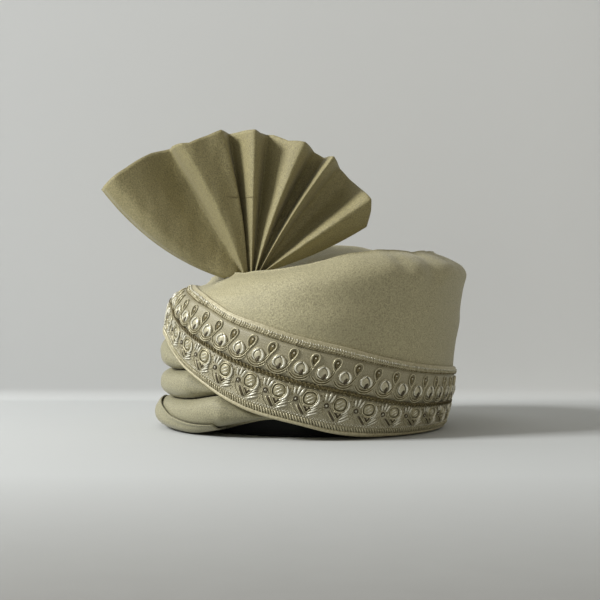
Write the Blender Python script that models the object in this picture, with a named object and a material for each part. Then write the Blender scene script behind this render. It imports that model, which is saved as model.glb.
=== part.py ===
"""Tied turban pagri: wound crown, side rolls, slanted lace border and a pleated fan.

Metres, +Z up. The turban stands on z = 0 with its front towards -Y, and the origin is the
middle of the opening for the head.
Angles run from the right side, 0 degrees, to the left side, 180 degrees.
"""
from collections import namedtuple
from math import cos, pi, radians, sin

import bmesh
import bpy
import numpy as np

# Crown
CROWN_HEIGHT = 0.138
CROWN_HALF_WIDTH = 0.117
CROWN_HALF_DEPTH = 0.129
CROWN_LEAN = 0.020
CROWN_SHIFT = -0.007
DOME_RISE = 0.015
RIM_HOLLOW = 0.008
BASE_INSET = 0.012

# Hollow for the head, with its lining
HEAD_HALF_WIDTH = 0.084
HEAD_HALF_DEPTH = 0.098
HEAD_WALL_HEIGHT = 0.086
HEAD_DOME_HEIGHT = 0.047
LINING_WALL = 0.0013
LINING_HEM = 0.0008
LINING_HEADROOM = 0.0003

# Side rolls
ROLL_BACKING = 0.0055
ROLL_DEPTH = 0.0275
ROLL_SINK = 0.0018
FOLD_WALL = 0.0042
FOLD_CLEARANCE = 0.0007

# Lace border
LACE_THICKNESS = 0.0022
TAPE_THICKNESS = 0.0026
MIDDLE_BRAID_DIAMETER = 0.0036
PIPING_DIAMETER = 0.0030

# Pleated fan
FAN_LENGTH = 0.109
FAN_X = -0.043
FAN_SET_BACK = 0.063
FAN_SINK = 0.0165
FAN_STEM_WIDTH = 0.020
FAN_ROOT_SLANT = 0.010
FAN_FOLD_DEPTH = 0.0075
FAN_CLOTH = 0.0030

# Clearance between neighbouring pieces, and under the fan's stem
GAP = 0.0004
FAN_SEAT = 0.0008

# The fan's root, set back from the crown's front and sunk below its full height
FAN_Y = FAN_SET_BACK - CROWN_HALF_DEPTH
FAN_Z = CROWN_HEIGHT - FAN_SINK

COLUMNS = 60

# Where the crown steps in behind the rolls, in degrees, and how its underside turns in elsewhere
RECESS_START = 86
RECESS_BLEND = 12
TURN_IN_REACH = 0.75
TURN_IN_RISE = 0.22

# Rolls: sides of the outline, how square it is, and how the ends taper, in degrees, as a lead
# before each roll's start and as a share of the last step for its point
ROLL_SIDES = 10
ROLL_SQUARENESS = 0.85
ROLL_TAPER = 14
ROLL_TAPER_LEAD = 5
ROLL_END_HEIGHT = 0.0022
ROLL_POINT = 0.5
Roll = namedtuple("Roll", "name low high start")

# Fold round the lower roll: the roll's sides that it can cover, counted from the outermost,
# its start in degrees, the last side that it covers in front and at the left, how thin it is
# at its ends and its hem, and how fast it swells from there
FOLD_SIDES = (-3, -2, -1, 0, 1, 2)
FOLD_START = 126
FOLD_TAPER = 18
FOLD_FRONT_HEM = -1.3
FOLD_LEFT_HEM = 1.25
FOLD_EDGE = 0.05
FOLD_END_WALL = 0.3
FOLD_HEM_WALL = 0.22
FOLD_SWELL_SPAN = 1.25
FOLD_SWELL = 0.6
FOLD_POINT = 1.4

# Rows of the crown from the border's top line up to the rim, closest together near the rim
SHOULDER_ROWS = (0.08, 0.30, 0.54, 0.73, 0.83, 0.90, 0.955, 1.0)

# Rows of the crown within each lace tier, as shares of the tier from its lower edge
LOWER_TIER_ROWS = (0.0, 0.1, 0.5, 0.9)
UPPER_TIER_ROWS = (0.0, 0.1, 0.46, 0.80, 0.83)

# Rows of the fan from its root to its tips, how deep the folds are at the stem, the share of
# the length by which they are fully open, and the column where the root starts to slant
FAN_ROWS = (0.0, 0.12, 0.26, 0.42, 0.58, 0.74, 0.88, 1.0)
FAN_STEM_DEPTH = 0.3
FAN_OPENING = 0.71
FAN_SLANT_COLUMN = -0.5

# Outline of the crown, a row for each level: height as a share of the rim's height there,
# then half width, half depth and lean to the right as shares of the crown's own.
Level = namedtuple("Level", "height width depth lean")
LEVELS = (
    Level(0.00, 0.902, 0.907, 0.28),
    Level(0.04, 0.930, 0.938, 0.29),
    Level(0.14, 0.957, 0.969, 0.30),
    Level(0.28, 0.976, 0.988, 0.36),
    Level(0.48, 0.987, 0.996, 0.40),
    Level(0.64, 0.998, 0.992, 0.49),
    Level(0.76, 1.000, 0.980, 0.61),
    Level(0.85, 1.004, 0.961, 0.77),
    Level(0.91, 0.962, 0.926, 0.87),
    Level(0.96, 0.863, 0.860, 0.87),
    Level(1.00, 0.765, 0.775, 0.87),
)

# Course of the rim and the lace border round the crown, the same in front and behind.
# The rim is a share of the crown's height, the border's three lines are shares of the rim's.
Turn = namedtuple("Turn", "degrees rim bottom middle top")
TURNS = (
    Turn(0, 1.000, 0.022, 0.152, 0.340),
    Turn(30, 0.998, 0.022, 0.162, 0.364),
    Turn(45, 0.990, 0.022, 0.171, 0.388),
    Turn(63, 0.975, 0.024, 0.211, 0.440),
    Turn(78, 0.960, 0.042, 0.263, 0.503),
    Turn(95, 0.925, 0.103, 0.332, 0.585),
    Turn(110, 0.885, 0.166, 0.420, 0.687),
    Turn(121, 0.865, 0.238, 0.495, 0.758),
    Turn(131, 0.850, 0.325, 0.577, 0.842),
    Turn(137, 0.845, 0.377, 0.618, 0.880),
    Turn(144, 0.840, 0.438, 0.672, 0.912),
    Turn(152, 0.836, 0.520, 0.735, 0.936),
    Turn(165, 0.834, 0.622, 0.838, 0.956),
    Turn(180, 0.833, 0.648, 0.866, 0.960),
)

Edge = namedtuple("Edge", "degrees arch foot low_crease")
EDGES = (
    Edge(0, 0.000, 0.040, 0.260),
    Edge(64, 0.000, 0.040, 0.260),
    Edge(78, 0.022, 0.060, 0.260),
    Edge(90, 0.062, 0.090, 0.255),
    Edge(101, 0.100, 0.115, 0.250),
    Edge(110, 0.093, 0.101, 0.245),
    Edge(120, 0.070, 0.078, 0.240),
    Edge(130, 0.042, 0.048, 0.215),
    Edge(140, 0.015, 0.040, 0.192),
    Edge(150, 0.000, 0.040, 0.180),
    Edge(180, 0.000, 0.040, 0.178),
)
HIGH_CREASE = 0.335

# Top of the crown from the rim inwards: distance as a share of the rim's, then how far the
# surface sinks into the hollow behind the rim and rises to the dome.
Top = namedtuple("Top", "reach sink rise")
TOPS = (
    Top(1.00, 0.00, 0.00),
    Top(0.94, 0.42, 0.00),
    Top(0.87, 1.00, 0.00),
    Top(0.78, 0.88, 0.00),
    Top(0.66, 0.40, 0.08),
    Top(0.50, 0.00, 0.36),
    Top(0.28, 0.00, 0.80),
)
CENTRE_HEIGHT = 0.935
TOP_MIDDLE_X = CROWN_SHIFT + CROWN_LEAN * LEVELS[-1].lean

# Dome of the hollow for the head: reach as a share of the opening, rise as a share of the dome.
Dome = namedtuple("Dome", "reach rise")
DOMES = (
    Dome(1.00, 0.00),
    Dome(0.95, 0.20),
    Dome(0.80, 0.42),
    Dome(0.55, 0.70),
    Dome(0.28, 0.92),
)

# Pleats from left to right, a row for each fold line: angle from upright, length as a share
# of the fan's, sideways bow as a share of the length, depth towards the front as a share of
# the fold depth, and its root across the stem as a share of the stem's width.
Fold = namedtuple("Fold", "degrees length bow depth root")
FOLDS = (
    Fold(-61.5, 1.190, -0.070, 0.00, -1.05),
    Fold(-51.0, 1.120, -0.048, 0.55, -0.80),
    Fold(-40.5, 1.085, -0.050, 1.00, -0.52),
    Fold(-39.0, 1.060, 0.020, -1.30, -0.44),
    Fold(-37.0, 1.045, 0.060, 0.75, -0.36),
    Fold(-25.5, 0.975, 0.045, 0.70, -0.28),
    Fold(-12.0, 1.000, 0.040, 1.20, -0.20),
    Fold(-9.0, 0.975, -0.015, -1.20, -0.12),
    Fold(1.8, 0.972, 0.000, 1.00, -0.04),
    Fold(7.7, 0.962, 0.000, -1.10, 0.04),
    Fold(22.5, 0.955, -0.020, 1.10, 0.12),
    Fold(29.5, 0.930, -0.025, -1.20, 0.20),
    Fold(35.7, 0.962, -0.020, 1.10, 0.28),
    Fold(43.8, 0.935, -0.020, -1.20, 0.36),
    Fold(60.4, 0.955, 0.000, 0.90, 0.44),
    Fold(68.5, 0.855, 0.030, -0.60, 0.54),
)

ANGLES = np.array([2 * pi * column / COLUMNS for column in range(COLUMNS)])
COSINES = np.cos(ANGLES)
SINES = np.sin(ANGLES)
DEGREES = np.degrees(np.arccos(np.clip(COSINES, -1, 1)))
IN_FRONT = SINES < -1e-6


def ease(share):
    share = np.clip(share, 0, 1)
    return share * share * (3 - 2 * share)


def read_table(table, column, at):
    """Smooth curve without overshoot through one column of a table, flat at both ends."""
    keys = np.array([row[0] for row in table], float)
    values = np.array([getattr(row, column) for row in table], float)
    steps = np.diff(keys)
    rises = np.diff(values) / steps
    slopes = np.zeros(len(keys))
    same_way = rises[:-1] * rises[1:] > 0
    pairs = rises[:-1][same_way], rises[1:][same_way]
    slopes[1:-1][same_way] = 2 * pairs[0] * pairs[1] / (pairs[0] + pairs[1])
    at = np.clip(np.asarray(at, float), keys[0], keys[-1])
    left = np.clip(np.searchsorted(keys, at, side="right") - 1, 0, len(steps) - 1)
    share = (at - keys[left]) / steps[left]
    start = values[left] + slopes[left] * steps[left] * share * (1 - share) ** 2
    end = values[left + 1] - slopes[left + 1] * steps[left] * (1 - share) * share ** 2
    climb = ease(share) * (values[left + 1] - values[left])
    return start + climb + end - values[left + 1]


def mix(first, second, share):
    return first + (second - first) * share


def ring(x, y, z):
    return np.stack(np.broadcast_arrays(x, y, z), axis=-1).astype(float)


RIM = read_table(TURNS, "rim", DEGREES) * CROWN_HEIGHT
BAND_BOTTOM = read_table(TURNS, "bottom", DEGREES)
BAND_MIDDLE = read_table(TURNS, "middle", DEGREES)
BAND_TOP = read_table(TURNS, "top", DEGREES)
ARCH = np.where(IN_FRONT, read_table(EDGES, "arch", DEGREES), 0) * CROWN_HEIGHT


def side_ring(height):
    """Ring on the crown's side wall at the given shares of the rim's height."""
    half_width = read_table(LEVELS, "width", height) * CROWN_HALF_WIDTH
    half_depth = read_table(LEVELS, "depth", height) * CROWN_HALF_DEPTH
    lean = read_table(LEVELS, "lean", height) * CROWN_LEAN
    middle = CROWN_SHIFT + lean
    return ring(middle + half_width * COSINES, half_depth * SINES, height * RIM)


def head_ring(reach, z, inset=0.0):
    """Ring of the hollow for the head, drawn in from its wall by the inset."""
    half_width = HEAD_HALF_WIDTH + LINING_WALL + GAP - inset
    half_depth = HEAD_HALF_DEPTH + LINING_WALL + GAP - inset
    return ring(reach * half_width * COSINES, reach * half_depth * SINES, z)


def backing_ring(z, out=0.0):
    """Ring of the wall behind the rolls, and of what lies further out from it."""
    half_width = HEAD_HALF_WIDTH + LINING_WALL + GAP + ROLL_BACKING
    half_depth = HEAD_HALF_DEPTH + LINING_WALL + GAP + ROLL_BACKING
    away = np.stack([COSINES / half_width, SINES / half_depth], axis=-1)
    away /= np.linalg.norm(away, axis=-1, keepdims=True)
    x = half_width * COSINES + away[:, 0] * out
    y = half_depth * SINES + away[:, 1] * out
    return ring(x, y, z)


def band_rings():
    """Rings of the crown under the border, from its bottom line to its top line."""
    rings = [side_ring(mix(BAND_BOTTOM, BAND_MIDDLE, share)) for share in LOWER_TIER_ROWS]
    rings += [side_ring(mix(BAND_MIDDLE, BAND_TOP, share)) for share in UPPER_TIER_ROWS]
    rings.append(side_ring(BAND_TOP))
    return rings


BAND = band_rings()


def outward(rings):
    """Unit normals of a stack of rings, pointing away from the crown."""
    grid = np.array(rings)
    along = np.roll(grid, -1, axis=1) - np.roll(grid, 1, axis=1)
    up = np.gradient(grid, axis=0)
    normals = np.cross(along, up)
    return normals / np.linalg.norm(normals, axis=-1, keepdims=True)


BAND_NORMALS = outward(BAND)


def on_band(row, lift):
    """Ring over the border, on one of its rows, lifted off the crown."""
    return BAND[row] + BAND_NORMALS[row] * lift


def top_rings():
    """Rings of the crown's top from just inside the rim to just short of the middle."""
    rim = side_ring(np.ones(COLUMNS))
    middle = np.array([TOP_MIDDLE_X, 0, CROWN_HEIGHT * CENTRE_HEIGHT])
    rings = []
    for row in TOPS[1:]:
        level = mix(middle, rim, row.reach)
        level[:, 2] += row.rise * DOME_RISE - row.sink * RIM_HOLLOW
        rings.append(level)
    return rings, middle + np.array([0, 0, DOME_RISE])


def top_height(x, y):
    """Height of the crown's top at a place behind the rim."""
    last = LEVELS[-1]
    across = (x - TOP_MIDDLE_X) / (CROWN_HALF_WIDTH * last.width)
    reach = float(np.hypot(across, y / (CROWN_HALF_DEPTH * last.depth)))
    degrees = np.degrees(np.arccos(across / reach))
    rim = float(read_table(TURNS, "rim", degrees)) * CROWN_HEIGHT
    inwards = TOPS[::-1]
    reaches = [row.reach for row in inwards]
    sink = np.interp(reach, reaches, [row.sink for row in inwards]) * RIM_HOLLOW
    rise = np.interp(reach, reaches, [row.rise for row in inwards]) * DOME_RISE
    return mix(CROWN_HEIGHT * CENTRE_HEIGHT, rim, min(reach, 1)) + rise - sink


def make_object(name, mesh_data, colour, roughness):
    """Object in the turban's collection, with a plain material of its own."""
    thing = bpy.data.objects.new(name, mesh_data)
    TURBAN.objects.link(thing)
    material = bpy.data.materials.new(name + "_finish")
    material.use_nodes = True
    shader = material.node_tree.nodes["Principled BSDF"]
    shader.inputs["Base Color"].default_value = (*colour, 1)
    shader.inputs["Roughness"].default_value = roughness
    shader.inputs["Metallic"].default_value = 0.0
    mesh_data.materials.append(material)
    return thing


def add_panel(work, first, second, third, fourth):
    """Four-sided panel, split along its shorter diagonal so that neighbours split alike."""
    if (first.co - third.co).length <= (second.co - fourth.co).length:
        work.faces.new((first, second, third))
        work.faces.new((first, third, fourth))
    else:
        work.faces.new((first, second, fourth))
        work.faces.new((second, third, fourth))


def finish_body(name, work, colour, roughness):
    """Object from a finished bmesh, its faces turned outwards and shaded smooth."""
    bmesh.ops.recalc_face_normals(work, faces=work.faces)
    mesh = bpy.data.meshes.new(name)
    work.to_mesh(mesh)
    work.free()
    mesh.shade_smooth()
    mesh.set_sharp_from_angle(angle=radians(50))
    return make_object(name, mesh, colour, roughness)


def loft(name, rings, colour, roughness, poles=(None, None), closed_stack=False):
    """Closed body through rings of equal count; a pole is a middle point that closes an end."""
    work = bmesh.new()
    rows = [[work.verts.new(point) for point in level] for level in rings]
    pairs = list(zip(rows[:-1], rows[1:]))
    if closed_stack:
        pairs.append((rows[-1], rows[0]))
    for lower, upper in pairs:
        for column in range(len(lower)):
            after = (column + 1) % len(lower)
            add_panel(work, lower[column], lower[after], upper[after], upper[column])
    for pole, row in zip(poles, (rows[0], rows[-1])):
        if pole is not None:
            tip = work.verts.new(pole)
            for column in range(len(row)):
                work.faces.new((row[column], row[(column + 1) % len(row)], tip))
    return finish_body(name, work, colour, roughness)


def cord(name, points, diameter, colour, roughness):
    """Closed round cord along a ring of points."""
    curve = bpy.data.curves.new(name, "CURVE")
    curve.dimensions = "3D"
    curve.bevel_depth = diameter / 2
    curve.bevel_resolution = 1
    spline = curve.splines.new("POLY")
    spline.points.add(len(points) - 1)
    for spot, point in zip(spline.points, points):
        spot.co = (*point, 1)
    spline.use_cyclic_u = True
    return make_object(name, curve, colour, roughness)


CLOTH = (0.46, 0.43, 0.30)
ROLL_CLOTH = (0.44, 0.41, 0.29)
LACE_CLOTH = (0.50, 0.47, 0.33)
DARK_CORD = (0.17, 0.14, 0.05)
PALE_CORD = (0.58, 0.54, 0.39)
LINING_CLOTH = (0.006, 0.006, 0.006)


def dome_height(rise):
    return HEAD_WALL_HEIGHT + rise * HEAD_DOME_HEIGHT


def build_crown():
    """Wound crown, from the middle of its hollow down to the hem and up over the outside."""
    recessed = ease((DEGREES - RECESS_START) / RECESS_BLEND)[:, None]
    base_edge = side_ring(np.zeros(COLUMNS))
    base_edge[:, :2] *= 1 - BASE_INSET / CROWN_HALF_WIDTH
    base_edge[:, 2] = ARCH
    turn_in = mix(base_edge, BAND[0], TURN_IN_REACH)
    turn_in[:, 2] = mix(ARCH, BAND[0][:, 2], TURN_IN_RISE)
    rings = [head_ring(dome.reach, dome_height(dome.rise)) for dome in reversed(DOMES)]
    rings.append(head_ring(1.0, ARCH))
    rings.append(mix(base_edge, backing_ring(ARCH), recessed))
    rings.append(mix(turn_in, backing_ring(BAND[0][:, 2]), recessed))
    rings += BAND
    rings += [side_ring(mix(BAND_TOP, 1.0, share)) for share in SHOULDER_ROWS]
    over, summit = top_rings()
    return loft("crown", rings + over, CLOTH, 0.62, ((0, 0, dome_height(1.0)), summit))


def lining_skin(inset):
    """One side of the lining, from the middle of its dome down to its hem, and the middle."""
    drop = inset + LINING_HEADROOM
    levels = [head_ring(dome.reach, dome_height(dome.rise) - drop, inset) for dome in reversed(DOMES)]
    levels.append(head_ring(1.0, LINING_HEM, inset))
    return levels, (0, 0, dome_height(1.0) - drop)


def build_lining():
    """Thin cap inside the hollow, its hem down to just above the table."""
    inner, inner_middle = lining_skin(GAP + LINING_WALL)
    outer, outer_middle = lining_skin(GAP)
    rings = inner + outer[::-1]
    return loft("head_lining", rings, LINING_CLOTH, 0.9, (inner_middle, outer_middle))


def roll_limits():
    """Lower and upper height of each roll round the turban, under the border's lower edge."""
    ceiling = BAND[0][:, 2] - ROLL_SINK
    foot = read_table(EDGES, "foot", DEGREES) * CROWN_HEIGHT
    foot = np.where(IN_FRONT, foot, EDGES[-1].foot * CROWN_HEIGHT)
    low_crease = read_table(EDGES, "low_crease", DEGREES) * CROWN_HEIGHT
    high_crease = HIGH_CREASE * CROWN_HEIGHT
    return (
        Roll("lower_roll", foot, np.minimum(low_crease, ceiling), 101),
        Roll("middle_roll", low_crease + GAP, np.minimum(high_crease, ceiling), 118),
        Roll("upper_roll", np.full(COLUMNS, high_crease + GAP), ceiling, 136),
    )


def roll_section(roll, turn, swell=0.0):
    """Section ring points of a roll at one angle of its outline, all round the turban."""
    height = np.maximum(roll.high - roll.low, 0)
    full = (EDGES[-1].low_crease - EDGES[-1].foot) * CROWN_HEIGHT
    taper = ease((DEGREES - roll.start + ROLL_TAPER_LEAD) / ROLL_TAPER)
    slimness = np.sqrt(np.clip(height / full, 0, 1) * taper)
    across = np.sign(cos(turn)) * abs(cos(turn)) ** ROLL_SQUARENESS
    upward = np.sign(sin(turn)) * abs(sin(turn)) ** ROLL_SQUARENESS
    out = GAP + ROLL_DEPTH / 2 * slimness * (1 + across) + swell * cos(turn)
    z = (roll.low + roll.high + height * upward) / 2 + swell * sin(turn)
    return backing_ring(z, out)


def turned_order():
    """Columns from the front end of the rolls round the left side to the back end."""
    return [column % COLUMNS for column in range(COLUMNS, 0, -1)]


def build_roll(roll):
    """Padded roll tapered to a point at both ends."""
    thick = (roll.high - roll.low > ROLL_END_HEIGHT) & (DEGREES > roll.start)
    columns = [column for column in turned_order() if thick[column]]
    sections = [roll_section(roll, 2 * pi * side / ROLL_SIDES) for side in range(ROLL_SIDES)]
    rings = [np.array([section[column] for section in sections]) for column in columns]
    poles = (end_point(rings[0], rings[1]), end_point(rings[-1], rings[-2]))
    return loft(roll.name, rings, ROLL_CLOTH, 0.62, poles)


def end_point(last_ring, ring_before):
    """Point a little past the last section, where a tapered end closes."""
    middle = last_ring.mean(axis=0)
    return middle + (middle - ring_before.mean(axis=0)) * ROLL_POINT


def roll_skin(roll, side, lift):
    """Ring on the flat faces of a roll's outline, at a side counted from its outermost one."""
    before = int(np.floor(side))
    turns = [2 * pi * (before + step) / ROLL_SIDES for step in (0, 1)]
    low, high = (roll_section(roll, turn, lift) for turn in turns)
    return mix(low, high, side - before)


def build_base_fold(lower_roll):
    """Fold of cloth that hugs the lower roll from below, and from outside at the left."""
    columns = [column for column in turned_order() if DEGREES[column] > FOLD_START]
    wrap = ease((DEGREES - FOLD_START) / (180 - FOLD_START))
    wall = FOLD_WALL * mix(FOLD_END_WALL, 1, ease((DEGREES - FOLD_START) / FOLD_TAPER))
    rings = []
    for column in columns:
        hem = mix(FOLD_FRONT_HEM, FOLD_LEFT_HEM, wrap[column])
        sides = [side if side <= hem else hem + (side - hem) * FOLD_EDGE for side in FOLD_SIDES]
        shares = [(side - sides[0]) / (sides[-1] - sides[0]) for side in sides]
        swells = [sin(pi * min(share * FOLD_SWELL_SPAN, 1)) ** FOLD_SWELL for share in shares]
        bellies = [mix(FOLD_HEM_WALL, 1, swell) for swell in swells]
        inner = [roll_skin(lower_roll, side, FOLD_CLEARANCE)[column] for side in sides]
        outer = [
            roll_skin(lower_roll, side, FOLD_CLEARANCE + wall[column] * belly)[column]
            for side, belly in zip(sides, bellies)
        ]
        rings.append(np.array(inner + outer[::-1]))
    spine = [(level[1] + level[-2]) / 2 for level in rings]
    poles = (mix(spine[1], spine[0], FOLD_POINT), mix(spine[-2], spine[-1], FOLD_POINT))
    return loft("base_fold", rings, ROLL_CLOTH, 0.62, poles)


def build_strip(name, rows, thickness, colour):
    """Flat strip of the border over some rows of the crown."""
    outer = [on_band(row, GAP + thickness) for row in rows]
    inner = [on_band(row, GAP) for row in reversed(rows)]
    return loft(name, outer + inner, colour, 0.5, closed_stack=True)


def build_border():
    """Two lace tiers with the tape over them, the cord between them and the piping below."""
    build_strip("lower_lace", (1, 2, 3), LACE_THICKNESS, LACE_CLOTH)
    build_strip("upper_lace", (5, 6, 7), LACE_THICKNESS, LACE_CLOTH)
    build_strip("top_tape", (8, 9), TAPE_THICKNESS, PALE_CORD)
    braid_lift = GAP + MIDDLE_BRAID_DIAMETER / 2
    cord("middle_braid", on_band(4, braid_lift), MIDDLE_BRAID_DIAMETER, DARK_CORD, 0.55)
    piping_lift = GAP + PIPING_DIAMETER / 2
    cord("edge_piping", on_band(0, piping_lift), PIPING_DIAMETER, PALE_CORD, 0.5)


def fan_columns():
    """Fold lines and the lines half way between them."""
    lines = [FOLDS[0]]
    for before, after in zip(FOLDS[:-1], FOLDS[1:]):
        lines.append(Fold(*(mix(first, second, 0.5) for first, second in zip(before, after))))
        lines.append(after)
    return lines


def fan_line(fold):
    """Points of one fold line from the foot of the stem to the tip."""
    stem_x = FAN_X + fold.root * FAN_STEM_WIDTH
    fold_depth = FAN_FOLD_DEPTH * fold.depth
    foot_y = FAN_Y - fold_depth * FAN_STEM_DEPTH
    foot_z = top_height(stem_x, foot_y) + FAN_SEAT
    points = [(stem_x, foot_y, foot_z)]
    tilt = radians(fold.degrees)
    length = FAN_LENGTH * fold.length
    tip = np.array([FAN_X + sin(tilt) * length, FAN_Z + cos(tilt) * length])
    slant = min(fold.root - FAN_SLANT_COLUMN, 0) * FAN_ROOT_SLANT
    root = np.array([stem_x, FAN_Z + slant])
    side = np.array([cos(tilt), -sin(tilt)])
    for share in FAN_ROWS:
        x, z = mix(root, tip, share) + side * fold.bow * length * 4 * share * (1 - share)
        y = FAN_Y - fold_depth * mix(FAN_STEM_DEPTH, 1, ease(share / FAN_OPENING))
        points.append((x, y, z))
    return np.array(points)


def build_fan():
    """Pleated sheet, a front face and a back face a cloth's thickness behind it."""
    lines = [fan_line(fold) for fold in fan_columns()]
    half = np.array([0, FAN_CLOTH / 2, 0])
    work = bmesh.new()
    front = [[work.verts.new(point - half) for point in line] for line in lines]
    back = [[work.verts.new(point + half) for point in line] for line in lines]
    last_line, last_step = len(lines) - 1, len(lines[0]) - 1
    for face in (front, back):
        for left, right in zip(face[:-1], face[1:]):
            for step in range(last_step):
                work.faces.new((left[step], right[step], right[step + 1], left[step + 1]))
    rim = [(line, 0) for line in range(last_line)]
    rim += [(last_line, step) for step in range(last_step)]
    rim += [(line, last_step) for line in range(last_line, 0, -1)]
    rim += [(0, step) for step in range(last_step, 0, -1)]
    for here, there in zip(rim, rim[1:] + rim[:1]):
        (line, step), (next_line, next_step) = here, there
        near = front[line][step], front[next_line][next_step]
        far = back[next_line][next_step], back[line][step]
        work.faces.new(near + far)
    return finish_body("pleated_fan", work, CLOTH, 0.6)


for old in list(bpy.data.objects):
    bpy.data.objects.remove(old, do_unlink=True)

TURBAN = bpy.data.collections.new("tied_turban_pagri")
bpy.context.scene.collection.children.link(TURBAN)

build_crown()
build_lining()
ROLLS = roll_limits()
for one_roll in ROLLS:
    build_roll(one_roll)
build_base_fold(ROLLS[0])
build_border()
build_fan()
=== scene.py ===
"""Looks of a ready-tied turban pagri: wound cloth, padded side rolls, embroidered lace and a fan."""
from collections import namedtuple
from math import cos, pi, radians, sin

import bmesh
import bpy
import numpy as np
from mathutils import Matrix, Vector, noise
from mathutils.bvhtree import BVHTree


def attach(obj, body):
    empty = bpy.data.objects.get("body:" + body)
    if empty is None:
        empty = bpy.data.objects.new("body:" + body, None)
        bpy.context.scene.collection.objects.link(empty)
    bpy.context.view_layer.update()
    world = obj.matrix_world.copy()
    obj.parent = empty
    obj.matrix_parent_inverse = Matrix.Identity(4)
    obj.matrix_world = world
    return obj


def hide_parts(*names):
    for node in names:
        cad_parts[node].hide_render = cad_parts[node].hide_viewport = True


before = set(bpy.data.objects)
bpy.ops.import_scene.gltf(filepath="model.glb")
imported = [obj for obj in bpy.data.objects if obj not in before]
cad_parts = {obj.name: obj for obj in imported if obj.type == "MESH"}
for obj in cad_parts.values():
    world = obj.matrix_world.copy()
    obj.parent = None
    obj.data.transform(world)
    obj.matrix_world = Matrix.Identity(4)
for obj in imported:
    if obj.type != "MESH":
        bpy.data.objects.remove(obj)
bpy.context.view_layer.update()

# Camera at the photograph's angle
camera_data = bpy.data.cameras.new("camera")
camera_data.sensor_width = 36
camera_data.lens = 76.8
camera_data.clip_start = 0.01
camera_data.clip_end = 50
camera = bpy.data.objects.new("camera", camera_data)
camera.location = (-0.007, -1.030, 0.100)
camera.rotation_euler = (pi / 2, 0, 0)
bpy.context.scene.collection.objects.link(camera)
bpy.context.scene.camera = camera

# Sizes of the solids, as the CAD source has them, but for the fan's deeper folds
CROWN_HEIGHT = 0.138
CROWN_HALF_WIDTH = 0.117
CROWN_HALF_DEPTH = 0.129
CROWN_LEAN = 0.020
CROWN_SHIFT = -0.007
DOME_RISE = 0.015
RIM_HOLLOW = 0.008
BASE_INSET = 0.012
HEAD_HALF_WIDTH = 0.084
HEAD_HALF_DEPTH = 0.098
HEAD_WALL_HEIGHT = 0.086
HEAD_DOME_HEIGHT = 0.047
LINING_WALL = 0.0013
LINING_HEM = 0.0008
LINING_HEADROOM = 0.0003
ROLL_BACKING = 0.0055
ROLL_DEPTH = 0.0275
ROLL_SINK = 0.0018
FOLD_WALL = 0.0042
FOLD_CLEARANCE = 0.0007
FAN_LENGTH = 0.109
FAN_X = -0.043
FAN_Y = -0.066
FAN_Z = 0.1215
FAN_STEM_WIDTH = 0.020
FAN_ROOT_SLANT = 0.010
FAN_FOLD_DEPTH = 0.0095
GAP = 0.0004

Level = namedtuple("Level", "height width depth lean")
LEVELS = (
    Level(0.00, 0.902, 0.907, 0.28),
    Level(0.04, 0.930, 0.938, 0.29),
    Level(0.14, 0.957, 0.969, 0.30),
    Level(0.28, 0.976, 0.988, 0.36),
    Level(0.48, 0.987, 0.996, 0.40),
    Level(0.64, 0.998, 0.992, 0.49),
    Level(0.76, 1.000, 0.980, 0.61),
    Level(0.85, 1.004, 0.961, 0.77),
    Level(0.91, 0.962, 0.926, 0.87),
    Level(0.96, 0.863, 0.860, 0.87),
    Level(1.00, 0.765, 0.775, 0.87),
)

Turn = namedtuple("Turn", "degrees rim bottom middle top")
TURNS = (
    Turn(0, 1.000, 0.022, 0.152, 0.340),
    Turn(30, 0.998, 0.022, 0.162, 0.364),
    Turn(45, 0.990, 0.022, 0.171, 0.388),
    Turn(63, 0.975, 0.024, 0.211, 0.440),
    Turn(78, 0.960, 0.042, 0.263, 0.503),
    Turn(95, 0.925, 0.103, 0.332, 0.585),
    Turn(110, 0.885, 0.166, 0.420, 0.687),
    Turn(121, 0.865, 0.238, 0.495, 0.758),
    Turn(131, 0.850, 0.325, 0.577, 0.842),
    Turn(137, 0.845, 0.377, 0.618, 0.880),
    Turn(144, 0.840, 0.438, 0.672, 0.912),
    Turn(152, 0.836, 0.520, 0.735, 0.936),
    Turn(165, 0.834, 0.622, 0.838, 0.956),
    Turn(180, 0.833, 0.648, 0.866, 0.960),
)

Edge = namedtuple("Edge", "degrees arch foot low_crease")
EDGES = (
    Edge(0, 0.000, 0.040, 0.260),
    Edge(64, 0.000, 0.040, 0.260),
    Edge(78, 0.022, 0.060, 0.260),
    Edge(90, 0.062, 0.090, 0.255),
    Edge(101, 0.100, 0.115, 0.250),
    Edge(110, 0.093, 0.101, 0.245),
    Edge(120, 0.070, 0.078, 0.240),
    Edge(130, 0.042, 0.048, 0.215),
    Edge(140, 0.015, 0.040, 0.192),
    Edge(150, 0.000, 0.040, 0.180),
    Edge(180, 0.000, 0.040, 0.178),
)
HIGH_CREASE = 0.335

Top = namedtuple("Top", "reach sink rise")
TOPS = (
    Top(0.00, 0.00, 1.00),
    Top(0.28, 0.00, 0.80),
    Top(0.50, 0.00, 0.36),
    Top(0.66, 0.40, 0.08),
    Top(0.78, 0.88, 0.00),
    Top(0.87, 1.00, 0.00),
    Top(0.94, 0.42, 0.00),
    Top(1.00, 0.00, 0.00),
)
CENTRE_HEIGHT = 0.935
TOP_MIDDLE_X = CROWN_SHIFT + CROWN_LEAN * LEVELS[-1].lean

Dome = namedtuple("Dome", "reach rise")
DOMES = (
    Dome(0.28, 0.92),
    Dome(0.55, 0.70),
    Dome(0.80, 0.42),
    Dome(0.95, 0.20),
    Dome(1.00, 0.00),
)

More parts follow.
